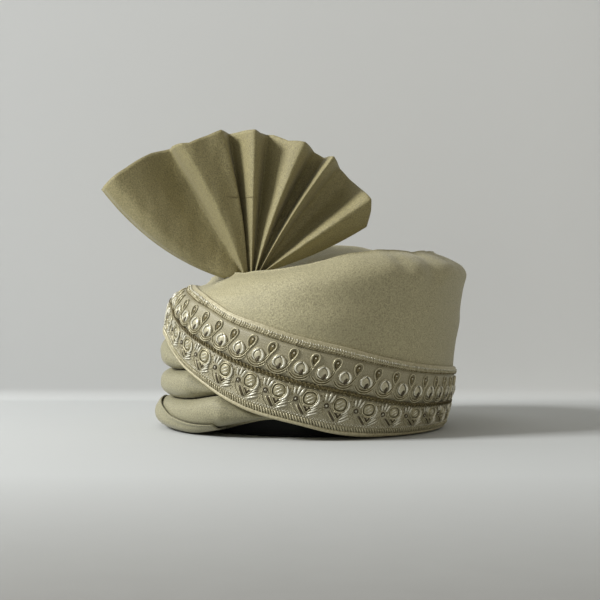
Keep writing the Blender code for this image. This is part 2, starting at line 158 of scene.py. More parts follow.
Fold = namedtuple("Fold", "degrees length bow depth root")
FOLDS = (
    Fold(-61.5, 1.190, -0.070, -0.30, -1.05),
    Fold(-60.0, 1.175, -0.066, 0.50, -1.01),
    Fold(-55.5, 1.146, -0.060, 1.10, -0.92),
    Fold(-50.5, 1.118, -0.053, 0.72, -0.81),
    Fold(-44.5, 1.098, -0.050, -0.05, -0.66),
    Fold(-40.5, 1.085, -0.046, -0.75, -0.54),
    Fold(-36.5, 1.055, -0.030, -1.30, -0.46),
    Fold(-34.2, 1.040, -0.012, -1.45, -0.42),
    Fold(-32.4, 1.028, 0.014, -0.20, -0.38),
    Fold(-29.0, 1.000, 0.036, 1.05, -0.33),
    Fold(-26.0, 0.978, 0.044, 0.95, -0.30),
    Fold(-18.0, 0.985, 0.044, 0.42, -0.24),
    Fold(-12.4, 1.000, 0.040, 0.20, -0.20),
    Fold(-11.4, 0.992, 0.026, -0.10, -0.17),
    Fold(-9.6, 0.976, 0.000, -1.15, -0.13),
    Fold(-6.5, 0.972, 0.000, -0.60, -0.09),
    Fold(-1.5, 0.972, 0.000, 0.50, -0.05),
    Fold(1.4, 0.972, 0.000, 0.80, -0.02),
    Fold(3.6, 0.956, 0.000, 0.20, 0.01),
    Fold(6.4, 0.962, 0.000, -1.20, 0.04),
    Fold(8.6, 0.964, -0.002, -0.95, 0.06),
    Fold(15.5, 0.936, -0.012, 0.10, 0.09),
    Fold(19.8, 0.950, -0.018, 0.75, 0.12),
    Fold(22.5, 0.957, -0.020, 0.95, 0.14),
    Fold(24.8, 0.950, -0.022, 0.30, 0.16),
    Fold(27.6, 0.938, -0.025, -1.15, 0.19),
    Fold(31.8, 0.940, -0.024, -1.30, 0.23),
    Fold(34.0, 0.955, -0.021, 0.40, 0.26),
    Fold(35.7, 0.965, -0.020, 1.05, 0.28),
    Fold(37.6, 0.958, -0.020, 0.35, 0.30),
    Fold(40.3, 0.943, -0.020, -1.05, 0.33),
    Fold(46.0, 0.937, -0.018, -1.35, 0.37),
    Fold(52.0, 0.945, -0.008, -0.60, 0.41),
    Fold(56.5, 0.953, -0.002, 0.70, 0.44),
    Fold(59.0, 0.955, 0.002, 1.00, 0.46),
    Fold(63.0, 0.920, 0.012, 0.30, 0.49),
    Fold(68.5, 0.855, 0.030, -1.00, 0.54),
)


def ease(share):
    share = np.clip(share, 0, 1)
    return share * share * (3 - 2 * share)


def mix(first, second, share):
    return first + (second - first) * share


def read_table(table, column, at):
    """Smooth curve without overshoot through one column of a table, flat at both ends."""
    keys = np.array([row[0] for row in table], float)
    values = np.array([getattr(row, column) for row in table], float)
    steps = np.diff(keys)
    rises = np.diff(values) / steps
    slopes = np.zeros(len(keys))
    same_way = rises[:-1] * rises[1:] > 0
    pairs = rises[:-1][same_way], rises[1:][same_way]
    slopes[1:-1][same_way] = 2 * pairs[0] * pairs[1] / (pairs[0] + pairs[1])
    at = np.clip(np.asarray(at, float), keys[0], keys[-1])
    left = np.clip(np.searchsorted(keys, at, side="right") - 1, 0, len(steps) - 1)
    share = (at - keys[left]) / steps[left]
    start = values[left] + slopes[left] * steps[left] * share * (1 - share) ** 2
    end = values[left + 1] - slopes[left + 1] * steps[left] * (1 - share) * share ** 2
    climb = ease(share) * (values[left + 1] - values[left])
    return start + climb + end - values[left + 1]


def points_of(x, y, z):
    return np.stack(np.broadcast_arrays(x, y, z), axis=-1).astype(float)


def degrees_at(angle):
    return np.degrees(np.arccos(np.clip(np.cos(angle), -1, 1)))


def rim_height(angle):
    return read_table(TURNS, "rim", degrees_at(angle)) * CROWN_HEIGHT


def border_height(line, angle):
    """Height of one of the border's three lines."""
    return read_table(TURNS, line, degrees_at(angle)) * rim_height(angle)


def arch_height(angle):
    in_front = np.sin(angle) < 0
    return np.where(in_front, read_table(EDGES, "arch", degrees_at(angle)), 0) * CROWN_HEIGHT


def wall_point(angle, z):
    """Point on the crown's side wall at an angle and a height."""
    height = z / rim_height(angle)
    half_width = read_table(LEVELS, "width", height) * CROWN_HALF_WIDTH
    half_depth = read_table(LEVELS, "depth", height) * CROWN_HALF_DEPTH
    middle = CROWN_SHIFT + read_table(LEVELS, "lean", height) * CROWN_LEAN
    return points_of(middle + half_width * np.cos(angle), half_depth * np.sin(angle), z)


def wall_normal(angle, z):
    step = 0.004
    along = wall_point(angle + step, z) - wall_point(angle - step, z)
    up = wall_point(angle, z + 0.0004) - wall_point(angle, z - 0.0004)
    normal = np.cross(along, up)
    return normal / np.linalg.norm(normal, axis=-1, keepdims=True)


# Mesh helpers
def grid_faces(rows, columns, stacked=False):
    """Faces between closed rows of points; stacked joins the last row to the first."""
    faces = []
    for row in range(rows if stacked else rows - 1):
        above = (row + 1) % rows
        for column in range(columns):
            after = (column + 1) % columns
            faces.append((row * columns + column, row * columns + after,
                          above * columns + after, above * columns + column))
    return faces


def plain_mesh(name, points, faces):
    mesh = bpy.data.meshes.new(name)
    mesh.from_pydata([tuple(point) for point in points], [], faces)
    mesh.validate()
    work = bmesh.new()
    work.from_mesh(mesh)
    bmesh.ops.recalc_face_normals(work, faces=work.faces)
    work.to_mesh(mesh)
    work.free()
    mesh.shade_smooth()
    return mesh


def points_in(mesh):
    """The mesh's points as an array of rows."""
    spots = np.zeros(len(mesh.vertices) * 3)
    mesh.vertices.foreach_get("co", spots)
    return spots.reshape(-1, 3)


def add_piece(name, mesh, material, node=None):
    """Finished piece at the origin, riding on the turban's one body."""
    piece = bpy.data.objects.new(name, mesh)
    bpy.context.scene.collection.objects.link(piece)
    mesh.materials.clear()
    mesh.materials.append(material)
    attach(piece, "root")
    if node:
        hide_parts(node)
    return piece


def closed_loft(name, rings, poles=(None, None), stacked=False):
    """Closed skin through rings of equal count, with a middle point at an open end."""
    count = len(rings[0])
    points = [point for level in rings for point in level]
    faces = grid_faces(len(rings), count, stacked)
    for pole, first in zip(poles, (0, (len(rings) - 1) * count)):
        if pole is not None:
            points.append(pole)
            tip = len(points) - 1
            faces += [(first + column, first + (column + 1) % count, tip) for column in range(count)]
    return plain_mesh(name, points, faces)


Lump = namedtuple("Lump", "size seed stretch height")


def lumps(points, size, seed, stretch):
    """Smooth noise from about -1 to 1 at each point, with lumps of the given size."""
    scaled = np.asarray(points, float) / size / np.array(stretch, float)
    offset = Vector((seed * 7.3, seed * 3.1, seed * 5.7))
    values = [noise.noise(Vector(point) + offset) for point in scaled.reshape(-1, 3)]
    return np.array(values).reshape(scaled.shape[:-1])


def cloth_lumps(points, rows, seed=0):
    """Broad and fine lumps of a cloth added up, as a height at each point."""
    return sum(lumps(points, row.size, row.seed + seed, row.stretch) * row.height for row in rows)


# Shader helpers
class Shade:
    """One socket, with arithmetic that adds Math nodes."""

    def __init__(self, book, socket):
        self.book = book
        self.socket = socket

    def math(self, operation, other, other_first=False):
        node = self.book.tree.nodes.new("ShaderNodeMath")
        node.operation = operation
        first, second = (other, self) if other_first else (self, other)
        for place, value in zip(node.inputs, (first, second)):
            self.book.feed(place, value)
        return Shade(self.book, node.outputs[0])

    def __add__(self, other):
        return self.math("ADD", other)

    __radd__ = __add__

    def __mul__(self, other):
        return self.math("MULTIPLY", other)

    __rmul__ = __mul__

    def __sub__(self, other):
        return self.math("SUBTRACT", other)

    def __rsub__(self, other):
        return self.math("SUBTRACT", other, other_first=True)

    def __truediv__(self, other):
        return self.math("DIVIDE", other)

    def clamp(self):
        return self.math("MINIMUM", 1.0).math("MAXIMUM", 0.0)

    def above(self, low, high):
        """0 below low, 1 above high and a straight ramp between."""
        return ((self - low) / (high - low)).clamp()


class Finish:
    """One material and its nodes."""

    def __init__(self, name, roughness=0.6, **constants):
        self.material = bpy.data.materials.new(name)
        self.material.use_nodes = True
        self.tree = self.material.node_tree
        self.shader = self.tree.nodes["Principled BSDF"]
        self.shader.inputs["Roughness"].default_value = roughness
        for label, value in constants.items():
            self.shader.inputs[label.replace("_", " ")].default_value = value

    def feed(self, place, value):
        """Links a socket to another one's, or sets its own value."""
        if isinstance(value, Shade):
            self.tree.links.new(value.socket, place)
        elif isinstance(value, tuple) and place.type == "RGBA":
            place.default_value = (*value, 1)
        else:
            place.default_value = value

    def node(self, kind, settings=None, output=0, **values):
        made = self.tree.nodes.new("ShaderNode" + kind)
        for label, value in (settings or {}).items():
            setattr(made, label, value)
        for label, value in values.items():
            self.feed(made.inputs[label], value)
        return Shade(self, made.outputs[output])

    def place(self, scale=(1, 1, 1), turn=(0, 0, 0)):
        """Object coordinates, scaled and turned."""
        coordinates = self.node("TexCoord", output="Object")
        return self.node("Mapping", Vector=coordinates, Scale=scale, Rotation=turn)

    def noise(self, vector, scale, detail=2.0, roughness=0.5):
        return self.node("TexNoise", Vector=vector, Scale=scale, Detail=detail, Roughness=roughness)

    def colours(self, value, stops):
        made = self.tree.nodes.new("ShaderNodeValToRGB")
        ramp = made.color_ramp
        while len(ramp.elements) < len(stops):
            ramp.elements.new(0.5)
        for element, (spot, colour) in zip(ramp.elements, stops):
            element.position = spot
            element.color = (*colour, 1)
        self.tree.links.new(value.socket, made.inputs[0])
        return Shade(self, made.outputs[0])

    def blend(self, first, second, factor):
        """Mix of two colours; the factor, the colours and the result are its sockets 0, 6, 7 and 2."""
        made = self.tree.nodes.new("ShaderNodeMix")
        made.data_type = "RGBA"
        for index, value in ((0, factor), (6, first), (7, second)):
            self.feed(made.inputs[index], value)
        return Shade(self, made.outputs[2])

    def surface(self, colour, roughness, height=None, distance=0.0, strength=1.0):
        """Colour, roughness and bump of the finish."""
        self.feed(self.shader.inputs["Base Color"], colour)
        self.feed(self.shader.inputs["Roughness"], roughness)
        if height is not None:
            bump = self.node("Bump", Height=height, Distance=distance, Strength=strength)
            self.feed(self.shader.inputs["Normal"], bump)


def linear(red, green, blue):
    """Linear colour of one that was read as 0 to 255."""
    return tuple(((value / 255 + 0.055) / 1.055) ** 2.4 for value in (red, green, blue))


def cloth_finish(name, base, sheen=0.12, spread=0.418):
    """Plain silk blend: fine threads both ways, a speckled lustre and slow changes of tone."""
    finish = Finish(name, 0.6, Sheen_Weight=sheen, Sheen_Roughness=0.4, Specular_IOR_Level=0.35)
    across = finish.noise(finish.place((260, 1900, 1900)), 1.0)
    up = finish.noise(finish.place((1900, 1900, 230)), 1.0)
    grain = finish.noise(finish.place(), 1000.0, 2.0, 0.7)
    tone = finish.noise(finish.place(), 24.0, 3.0)
    speckle = (across * 0.5 + up * 0.5) * 0.22 + grain * 0.78
    dark = tuple(value * (1 - spread) for value in base)
    pale = tuple(value * (1 + spread) for value in base)
    shadow = tuple(value * 0.86 for value in base)
    cloth = finish.colours(speckle, ((0.32, dark), (0.5, base), (0.70, pale)))
    shaded = finish.blend(cloth, shadow, tone.above(0.45, 0.75) * 0.5)
    finish.surface(shaded, 0.44 + speckle * 0.22, speckle, 0.0008, 0.8)
    return finish.material


crown_cloth = cloth_finish("crown_cloth", linear(167, 160, 127))
roll_cloth = cloth_finish("roll_cloth", linear(145, 140, 112))
# The fan's cloth is painted darker than the crown's: painted shade on the fan's pleats
fan_cloth = cloth_finish("fan_cloth", linear(146, 137, 98), sheen=0.15)


def shade_black_lining_finish():
    finish = Finish("lining_cloth", 0.9)
    weave = finish.noise(finish.place(), 900.0, 1.0)
    # Near-black lining: its black is painted shade, to make the shadow inside the crown deep
    black = finish.colours(weave, ((0.3, (0.002, 0.002, 0.002)), (0.7, (0.006, 0.006, 0.005))))
    finish.surface(black, 0.85 + weave * 0.1)
    return finish.material


def ribbon_finish():
    """Satin ground of the lace: fine ribs across it and a soft change of lustre."""
    finish = Finish("lace_ground", 0.45, Sheen_Weight=0.1)
    place = finish.node("UVMap", {"uv_map": "flat"})
    ribs = finish.node("TexWave", {"bands_direction": "X"}, Vector=place, Scale=420.0, Distortion=1.2,
                       Detail=1.0)
    speckle = finish.noise(place, 1400.0)
    tone = finish.noise(place, 60.0, 3.0)
    mixed = ribs * 0.4 + speckle * 0.6
    colour = finish.colours(mixed * 0.8 + tone * 0.2, (
        (0.30, linear(100, 93, 66)), (0.50, linear(148, 140, 110)), (0.72, linear(190, 184, 157))))
    finish.surface(colour, 0.38 + speckle * 0.2, mixed, 0.0003, 0.6)
    return finish.material


def thread_finish(name, low, high, roughness, metallic):
    """Metallic embroidery thread: tight slanted ply and uneven lustre."""
    finish = Finish(name, roughness, Metallic=metallic)
    ply = finish.noise(finish.place(turn=(0.5, 0.6, 0.3)), 2600.0)
    lustre = finish.noise(finish.place(), 500.0)
    colour = finish.colours(ply * 0.5 + lustre * 0.5, ((0.3, linear(*low)), (0.68, linear(*high))))
    finish.surface(colour, roughness - 0.1 + ply * 0.2, ply, 0.0002, 0.4)
    return finish.material


crown_lining_black_as_shade = shade_black_lining_finish()
lace_ground = ribbon_finish()
pale_thread = thread_finish("pale_thread", (136, 127, 92), (218, 211, 180), 0.32, 0.35)
mid_thread = thread_finish("mid_thread", (116, 108, 76), (184, 177, 146), 0.36, 0.25)
dark_thread = thread_finish("dark_thread", (78, 68, 36), (132, 120, 80), 0.45, 0.2)
cord_thread = thread_finish("cord_thread", (96, 86, 46), (172, 160, 116), 0.38, 0.35)
chain_thread = thread_finish("chain_thread", (62, 53, 26), (124, 112, 72), 0.42, 0.25)
black_thread = thread_finish("black_thread", (40, 33, 15), (84, 72, 42), 0.5, 0.0)
pearl_thread = thread_finish("pearl_thread", (160, 154, 126), (250, 247, 230), 0.26, 0.2)
field_thread = thread_finish("field_thread", (150, 143, 116), (204, 198, 170), 0.36, 0.15)
tape_cloth = thread_finish("tape_cloth", (142, 133, 100), (198, 190, 158), 0.50, 0.08)


# Crown
FINE = 360
ANGLES = np.array([2 * pi * column / FINE for column in range(FINE)])
DEGREES = degrees_at(ANGLES)
RIM = rim_height(ANGLES)
ARCH = arch_height(ANGLES)
BOTTOM = border_height("bottom", ANGLES)
TOP_LINE = border_height("top", ANGLES)
RECESS_START = 86
RECESS_BLEND = 12


def head_ring(reach, z, inset=0.0):
    half_width = HEAD_HALF_WIDTH + LINING_WALL + GAP - inset
    half_depth = HEAD_HALF_DEPTH + LINING_WALL + GAP - inset
    return points_of(reach * half_width * np.cos(ANGLES), reach * half_depth * np.sin(ANGLES), z)


def backing_ring(z, out=0.0, angles=ANGLES):
    half_width = HEAD_HALF_WIDTH + LINING_WALL + GAP + ROLL_BACKING
    half_depth = HEAD_HALF_DEPTH + LINING_WALL + GAP + ROLL_BACKING
    away = np.stack([np.cos(angles) / half_width, np.sin(angles) / half_depth], axis=-1)
    away /= np.linalg.norm(away, axis=-1, keepdims=True)
    x = half_width * np.cos(angles) + away[..., 0] * out
    y = half_depth * np.sin(angles) + away[..., 1] * out
    return points_of(x, y, z)


def dome_rings(drop, inset):
    """Rings from the middle of the head's dome down to its wall, and the middle."""
    shares = np.linspace(0.06, 1, 14)
    reach_keys = [0.0] + [dome.reach for dome in DOMES]
    rise_keys = [1.0] + [dome.rise for dome in DOMES]
    rings = []
    for share in shares:
        rise = np.interp(share, reach_keys, rise_keys)
        rings.append(head_ring(share, HEAD_WALL_HEIGHT + rise * HEAD_DOME_HEIGHT - drop, inset))
    return rings, (0, 0, HEAD_WALL_HEIGHT + HEAD_DOME_HEIGHT - drop)


def crown_top(angles, reach):
    """Points of the top from its middle, reach 0, out to the rim, reach 1."""
    rim = wall_point(angles, rim_height(angles))
    middle = np.array([TOP_MIDDLE_X, 0, CROWN_HEIGHT * CENTRE_HEIGHT])
    level = mix(middle, rim, reach)
    rise = read_table(TOPS, "rise", reach) * DOME_RISE
    sink = read_table(TOPS, "sink", reach) * RIM_HOLLOW
    level[..., 2] += rise - sink
    return level


RimLift = namedtuple("RimLift", "degrees rise")
RIM_LIFTS = (
    RimLift(0, 0.0),
    RimLift(150, 0.0),
    RimLift(180, 0.0020),
    RimLift(200, 0.0042),
    RimLift(225, 0.0045),
    RimLift(240, 0.0028),
    RimLift(255, 0.0008),
    RimLift(270, 0.0),
    RimLift(280, 0.0014),
    RimLift(296, 0.0028),
    RimLift(306, 0.0018),
    RimLift(318, 0.0),
    RimLift(360, 0.0),
)
Dent = namedtuple("Dent", "degrees width level depth")
CROWN_DENTS = (
    Dent(316, 4.5, 0.80, 0.0032),
    Dent(302, 3.5, 0.86, 0.0018),
    Dent(228, 4.0, 0.98, 0.0014),
    Dent(320, 3.2, 0.96, 0.0013),
    Dent(334, 2.8, 0.94, 0.0013),
    Dent(341, 3.4, 0.90, 0.0010),
    Dent(245, 7.0, 0.93, 0.0010),
    Dent(262, 5.0, 1.00, 0.0012),
    Dent(290, 6.0, 0.99, 0.0008),
    Dent(40, 5.0, 0.96, 0.0012),
    Dent(75, 4.0, 0.98, 0.0010),
    Dent(112, 5.0, 0.97, 0.0013),
    Dent(160, 4.0, 0.96, 0.0010),
)
DENT_HEIGHT = 0.10
CROWN_LUMPS = (
    Lump(0.055, 1, (1.3, 1.3, 0.8), 0.0016),
    Lump(0.020, 2, (2.6, 2.6, 0.8), 0.00075),
    Lump(0.007, 3, (1.8, 1.8, 1.0), 0.00010),
)
LUMP_MIDDLE = (0.0, 0.0, 0.06)
LUMP_FADE = 0.25
HEM_REACH = 0.75
HEM_HEIGHT = 0.22
BORDER_SHARES = np.linspace(0, 1, 9)
SIDE_SHARES = np.linspace(0, 1, 40)[1:]
TOP_REACHES = np.linspace(1, 0, 44)[1:-1]
LIFT_FROM_HEIGHT = 0.45
LIFT_FROM_REACH = 0.72


def build_crown():
    """Wound cloth crown with soft folds, pressed dents at the rim and a drawn-in hem."""
    recessed = ease((DEGREES - RECESS_START) / RECESS_BLEND)[:, None]
    base_edge = wall_point(ANGLES, 0 * ANGLES)
    base_edge[:, :2] *= 1 - BASE_INSET / CROWN_HALF_WIDTH
    base_edge[:, 2] = ARCH
    under = wall_point(ANGLES, BOTTOM)
    turn_in = mix(base_edge, under, HEM_REACH)
    turn_in[:, 2] = mix(ARCH, BOTTOM, HEM_HEIGHT)
    inner, inner_middle = dome_rings(0.0, 0.0)
    rings = inner + [head_ring(1.0, ARCH)]
    rings.append(mix(base_edge, backing_ring(ARCH), recessed))
    rings.append(mix(turn_in, backing_ring(BOTTOM), recessed))
    rings += [wall_point(ANGLES, mix(BOTTOM, TOP_LINE, share)) for share in BORDER_SHARES]
    hidden = len(rings)
    rings += [wall_point(ANGLES, mix(TOP_LINE, RIM, 1 - (1 - share) ** 1.5)) for share in SIDE_SHARES]
    rings += [crown_top(ANGLES, reach) for reach in TOP_REACHES]
    summit = crown_top(ANGLES, 0.0)[0]
    shown = np.array(rings[hidden:])
    away = shown - np.array(LUMP_MIDDLE)
    away /= np.linalg.norm(away, axis=-1, keepdims=True)
    height = (shown[..., 2] - TOP_LINE) / (RIM - TOP_LINE)
    fade = ease(height / LUMP_FADE)
    move = cloth_lumps(shown, CROWN_LUMPS) * fade
    round_degrees = np.degrees(ANGLES)
    lift = np.interp(round_degrees, *zip(*RIM_LIFTS))
    side_rows = ease((height[:len(SIDE_SHARES)] - LIFT_FROM_HEIGHT) / (1 - LIFT_FROM_HEIGHT))
    top_rows = ease((TOP_REACHES - LIFT_FROM_REACH) / (1 - LIFT_FROM_REACH))
    reach = np.concatenate([side_rows, np.repeat(top_rows[:, None], FINE, axis=1)])
    shown[..., 2] += reach * lift
    for dent in CROWN_DENTS:
        far = (round_degrees - dent.degrees + 180) % 360 - 180
        near = np.exp(-(far / dent.width) ** 2) * np.exp(-((height - dent.level) / DENT_HEIGHT) ** 2)
        move -= near * dent.depth * fade
    shown = shown + away * move[..., None]
    rings = rings[:hidden] + list(shown)
    return closed_loft("crown_cloth", rings, (inner_middle, summit))


crown = add_piece("crown_wrap", build_crown(), crown_cloth, "crown")

# Lining
inner_rings, inner_top = dome_rings(GAP + LINING_WALL + LINING_HEADROOM, GAP + LINING_WALL)
outer_rings, outer_top = dome_rings(GAP + LINING_HEADROOM, GAP)
skin = inner_rings + [head_ring(1.0, LINING_HEM, GAP + LINING_WALL), head_ring(1.0, LINING_HEM, GAP)]
skin += outer_rings[::-1]
lining = add_piece("cap_lining", closed_loft("cap_lining", skin, (inner_top, outer_top)),
                   crown_lining_black_as_shade, "head_lining")


# Side rolls
Roll = namedtuple("Roll", "name low high start")
ROLL_COLUMNS = [column % FINE for column in range(FINE, 0, -1)]
ROLL_SIDES = 36
ROLL_SQUARENESS = 0.85
ROLL_THINNEST = 0.0016
ROLL_TAPER_LEAD = 5
ROLL_TAPER = 14
ROLL_LUMPS = (
    Lump(0.012, 0, (3.0, 3.0, 0.55), 0.00045),
    Lump(0.035, 1, (1, 1, 1), 0.0006),
)
ROLL_FULL_RADIUS = 0.008


def roll_limits():
    ceiling = BOTTOM - ROLL_SINK
    in_front = np.sin(ANGLES) < -1e-6
    foot = np.where(in_front, read_table(EDGES, "foot", DEGREES), EDGES[-1].foot) * CROWN_HEIGHT
    low_crease = read_table(EDGES, "low_crease", DEGREES) * CROWN_HEIGHT
    high_crease = HIGH_CREASE * CROWN_HEIGHT
    return (
        Roll("lower_roll", foot, np.minimum(low_crease, ceiling), 101),
        Roll("middle_roll", low_crease + GAP, np.minimum(high_crease, ceiling), 118),
        Roll("upper_roll", np.full(FINE, high_crease + GAP), ceiling, 136),
    )


def roll_skin(roll, columns, turns, lifts=0.0):
    """Points of a roll's skin at angles of its outline, a row for each column, lifted off by a wall."""
    low = roll.low[columns][:, None]
    high = roll.high[columns][:, None]
    height = np.maximum(high - low, 0)
    full = (EDGES[-1].low_crease - EDGES[-1].foot) * CROWN_HEIGHT
    taper = ease((DEGREES[columns] - roll.start + ROLL_TAPER_LEAD) / ROLL_TAPER)[:, None]
    slimness = np.sqrt(np.clip(height / full, 0, 1) * taper)
    across = np.sign(np.cos(turns)) * np.abs(np.cos(turns)) ** ROLL_SQUARENESS
    upward = np.sign(np.sin(turns)) * np.abs(np.sin(turns)) ** ROLL_SQUARENESS
    out = GAP + ROLL_DEPTH / 2 * slimness * (1 + across) + lifts * np.cos(turns)
    z = (low + high + height * upward) / 2 + lifts * np.sin(turns)
    angles = np.repeat(ANGLES[columns][:, None], np.shape(turns)[-1], axis=1)
    return backing_ring(np.maximum(z, GAP), out, angles)


def build_roll(roll, seed):
    """Padded roll of wound cloth, tapered at both ends, with soft lengthwise creases."""
    thick = (roll.high - roll.low > ROLL_THINNEST) & (DEGREES > roll.start)
    columns = [column for column in ROLL_COLUMNS if thick[column]]
    rings = roll_skin(roll, columns, 2 * pi * np.arange(ROLL_SIDES) / ROLL_SIDES)
    spine = rings.mean(axis=1, keepdims=True)
    out = rings - spine
    length = np.linalg.norm(out, axis=-1, keepdims=True)
    out /= np.maximum(length, 1e-6)
    fade = np.minimum(length[..., 0] / ROLL_FULL_RADIUS, 1)
    rings = rings + out * (cloth_lumps(rings, ROLL_LUMPS, seed) * fade)[..., None]
    poles = (rings[0].mean(axis=0), rings[-1].mean(axis=0))
    return closed_loft(roll.name, list(rings), poles)


CLOTH_FRAMES = 20


def filled_out(mesh, shrink=0.0006, cap=0.0016):
    """Skin of a padded piece after its filling has pushed it out, as a short cloth simulation."""
    start = points_in(mesh)
    normals = np.array([vertex.normal[:] for vertex in mesh.vertices])
    mesh.vertices.foreach_set("co", (start - normals * shrink).ravel())
    mesh.update()
    pad = bpy.data.objects.new("padding", mesh)
    bpy.context.scene.collection.objects.link(pad)
    cloth = pad.modifiers.new("cloth", "CLOTH")
    cloth.settings.quality = 5
    cloth.settings.mass = 0.2
    cloth.settings.use_pressure = True
    cloth.settings.uniform_pressure_force = 4
    cloth.settings.effector_weights.gravity = 0
    cloth.collision_settings.use_collision = False
    for moment in range(1, CLOTH_FRAMES + 1):
        bpy.context.scene.frame_set(moment)
    graph = bpy.context.evaluated_depsgraph_get()
    result = bpy.data.meshes.new_from_object(pad.evaluated_get(graph), depsgraph=graph)
    bpy.data.objects.remove(pad)
    bpy.context.scene.frame_set(1)
    moves = points_in(result) - start
    length = np.linalg.norm(moves, axis=1, keepdims=True)
    moves *= np.minimum(1, cap / np.maximum(length, 1e-9))
    result.vertices.foreach_set("co", (start + moves).ravel())
    result.update()
    result.shade_smooth()
    return result


ROLLS = roll_limits()
for seed, one_roll in enumerate(ROLLS):
    skin = filled_out(build_roll(one_roll, 11 + seed * 3))
    padded_roll = add_piece(one_roll.name + "_cloth", skin, roll_cloth, one_roll.name)


# Fold of cloth round the lower roll
FOLD_START = 126
FOLD_OPENING = 54
FOLD_THICKENING = 18
FOLD_STEPS = 18
FOLD_EDGE = 0.22
FOLD_HEM = 0.30
FOLD_HEM_SHARE = 0.2
TENTH_TURN = 2 * pi / 10
FOLD_INNER_HEM = -3.0
FOLD_FIRST_HEM = -1.3
FOLD_LAST_HEM = 1.25


def build_base_fold():
    """Band that wraps the lower roll from below, thin at both edges and wider towards the back.
    Its hems are in tenths of a turn round the roll's outline."""
    columns = [column for column in ROLL_COLUMNS if DEGREES[column] > FOLD_START]
    spread = DEGREES[columns] - FOLD_START
    hems = mix(FOLD_FIRST_HEM, FOLD_LAST_HEM, ease(spread / FOLD_OPENING))[:, None]
    wall = FOLD_WALL * mix(0.3, 1, ease(spread / FOLD_THICKENING))[:, None]
    shares = np.arange(FOLD_STEPS + 1) / FOLD_STEPS
    from_hem = (1 - shares) / FOLD_HEM_SHARE
    bulge = mix(FOLD_EDGE, 1, np.sin(pi * np.clip(shares / (1 - FOLD_HEM_SHARE), 0, 1)).clip(0) ** 0.6)
    belly = np.where(from_hem > 1, bulge, mix(FOLD_EDGE, FOLD_HEM, from_hem))
    turns = TENTH_TURN * mix(FOLD_INNER_HEM, hems, shares)
    outer = FOLD_CLEARANCE + wall * belly
    inner = np.full_like(outer, FOLD_CLEARANCE)
    points = roll_skin(ROLLS[0], columns, np.concatenate([turns, turns[:, ::-1]], axis=1),
                       np.concatenate([inner, outer[:, ::-1]], axis=1))
    poles = (points[0].mean(axis=0), points[-1].mean(axis=0))
    return closed_loft("base_fold", list(points), poles)


base_fold = add_piece("base_fold_cloth", build_base_fold(), roll_cloth, "base_fold")


# Border: places along and across it
Course = namedtuple("Course", "low high angles slopes rates widths lengths total")


def course(low_line, high_line):
    """Middle line of a tier round the turban, with its slope, width and running length."""
    angles = np.linspace(0, 2 * pi, 2161)
    low = border_height(low_line, angles)
    high = border_height(high_line, angles)
    heights = (low + high) / 2
    line = wall_point(angles, heights)
    steps = np.linalg.norm(np.diff(line, axis=0), axis=1)
    lengths = np.concatenate([[0], np.cumsum(steps)])
    flat = np.gradient(line[:, :2], angles, axis=0)
    rate = np.linalg.norm(flat, axis=1)
    slopes = np.arctan2(np.gradient(heights, angles), rate)
    widths = (high - low) * np.cos(slopes)
    return Course(low_line, high_line, angles, slopes, rate, widths, lengths, lengths[-1])


LOWER = course("bottom", "middle")
UPPER = course("middle", "top")


def on_border(tier, along, across, lift):
    """Points on the border: along it in metres, across it as a share of its width from its
    lower edge, and lifted off the crown."""
    along = np.mod(along, tier.total)
    angle = np.interp(along, tier.lengths, tier.angles)
    slope = np.interp(angle, tier.angles, tier.slopes)
    width = np.interp(angle, tier.angles, tier.widths)
    rate = np.interp(angle, tier.angles, tier.rates)
    turned = angle - np.sin(slope) * (across - 0.5) * width / rate
    z = mix(border_height(tier.low, turned), border_height(tier.high, turned), across)
    return wall_point(turned, z) + wall_normal(turned, z) * np.asarray(lift)[..., None]


def flat_uv(mesh, flat):
    """Flat place of each corner, along and across in metres, kept as a UV map."""
    layer = mesh.uv_layers.new(name="flat")
    spots = np.zeros(len(mesh.loops), int)
    mesh.loops.foreach_get("vertex_index", spots)
    layer.data.foreach_set("uv", flat[spots].astype(np.float32).ravel())


BORDER_STEPS = 480
STRIP_ROWS = 8
STRIP_UPPER_EDGE = 0.55
STRIP_LOWER_EDGE = 0.1
FLAT_WIDTH = 0.03


def build_strip(name, tier, low, high, thickness):
    """Ribbon with rounded edges laid round the crown on a share of a tier's width."""
    along = np.linspace(0, tier.total, BORDER_STEPS, endpoint=False)
    shares = np.concatenate([np.linspace(low, high, STRIP_ROWS), np.linspace(high, low, STRIP_ROWS)])
    profile = np.concatenate([np.ones(STRIP_ROWS), np.zeros(STRIP_ROWS)])
    profile[0] = profile[STRIP_ROWS - 1] = STRIP_UPPER_EDGE
    profile[STRIP_ROWS] = profile[-1] = STRIP_LOWER_EDGE
    rings, flats = [], []
    for share, full in zip(shares, profile):
        rings.append(on_border(tier, along, share, np.full(BORDER_STEPS, GAP + thickness * full)))
        flats.append(np.stack([along, np.full(BORDER_STEPS, share * FLAT_WIDTH)], axis=-1))
    mesh = closed_loft(name, rings, stacked=True)
    flat_uv(mesh, np.concatenate(flats))
    return mesh


LACE_WALL = 0.0016
TAPE_WALL = 0.0018
for name, tier, low, high in (("upper_lace", UPPER, 0.045, 0.80), ("lower_lace", LOWER, 0.06, 0.955)):
    ribbon = add_piece(name + "_ground", build_strip(name, tier, low, high, LACE_WALL), lace_ground, name)
    breadth = float(np.mean(tier.widths)) * (high - low)
add_piece("top_tape_cloth", build_strip("top_tape", UPPER, 0.79, 0.985, TAPE_WALL), tape_cloth, "top_tape")


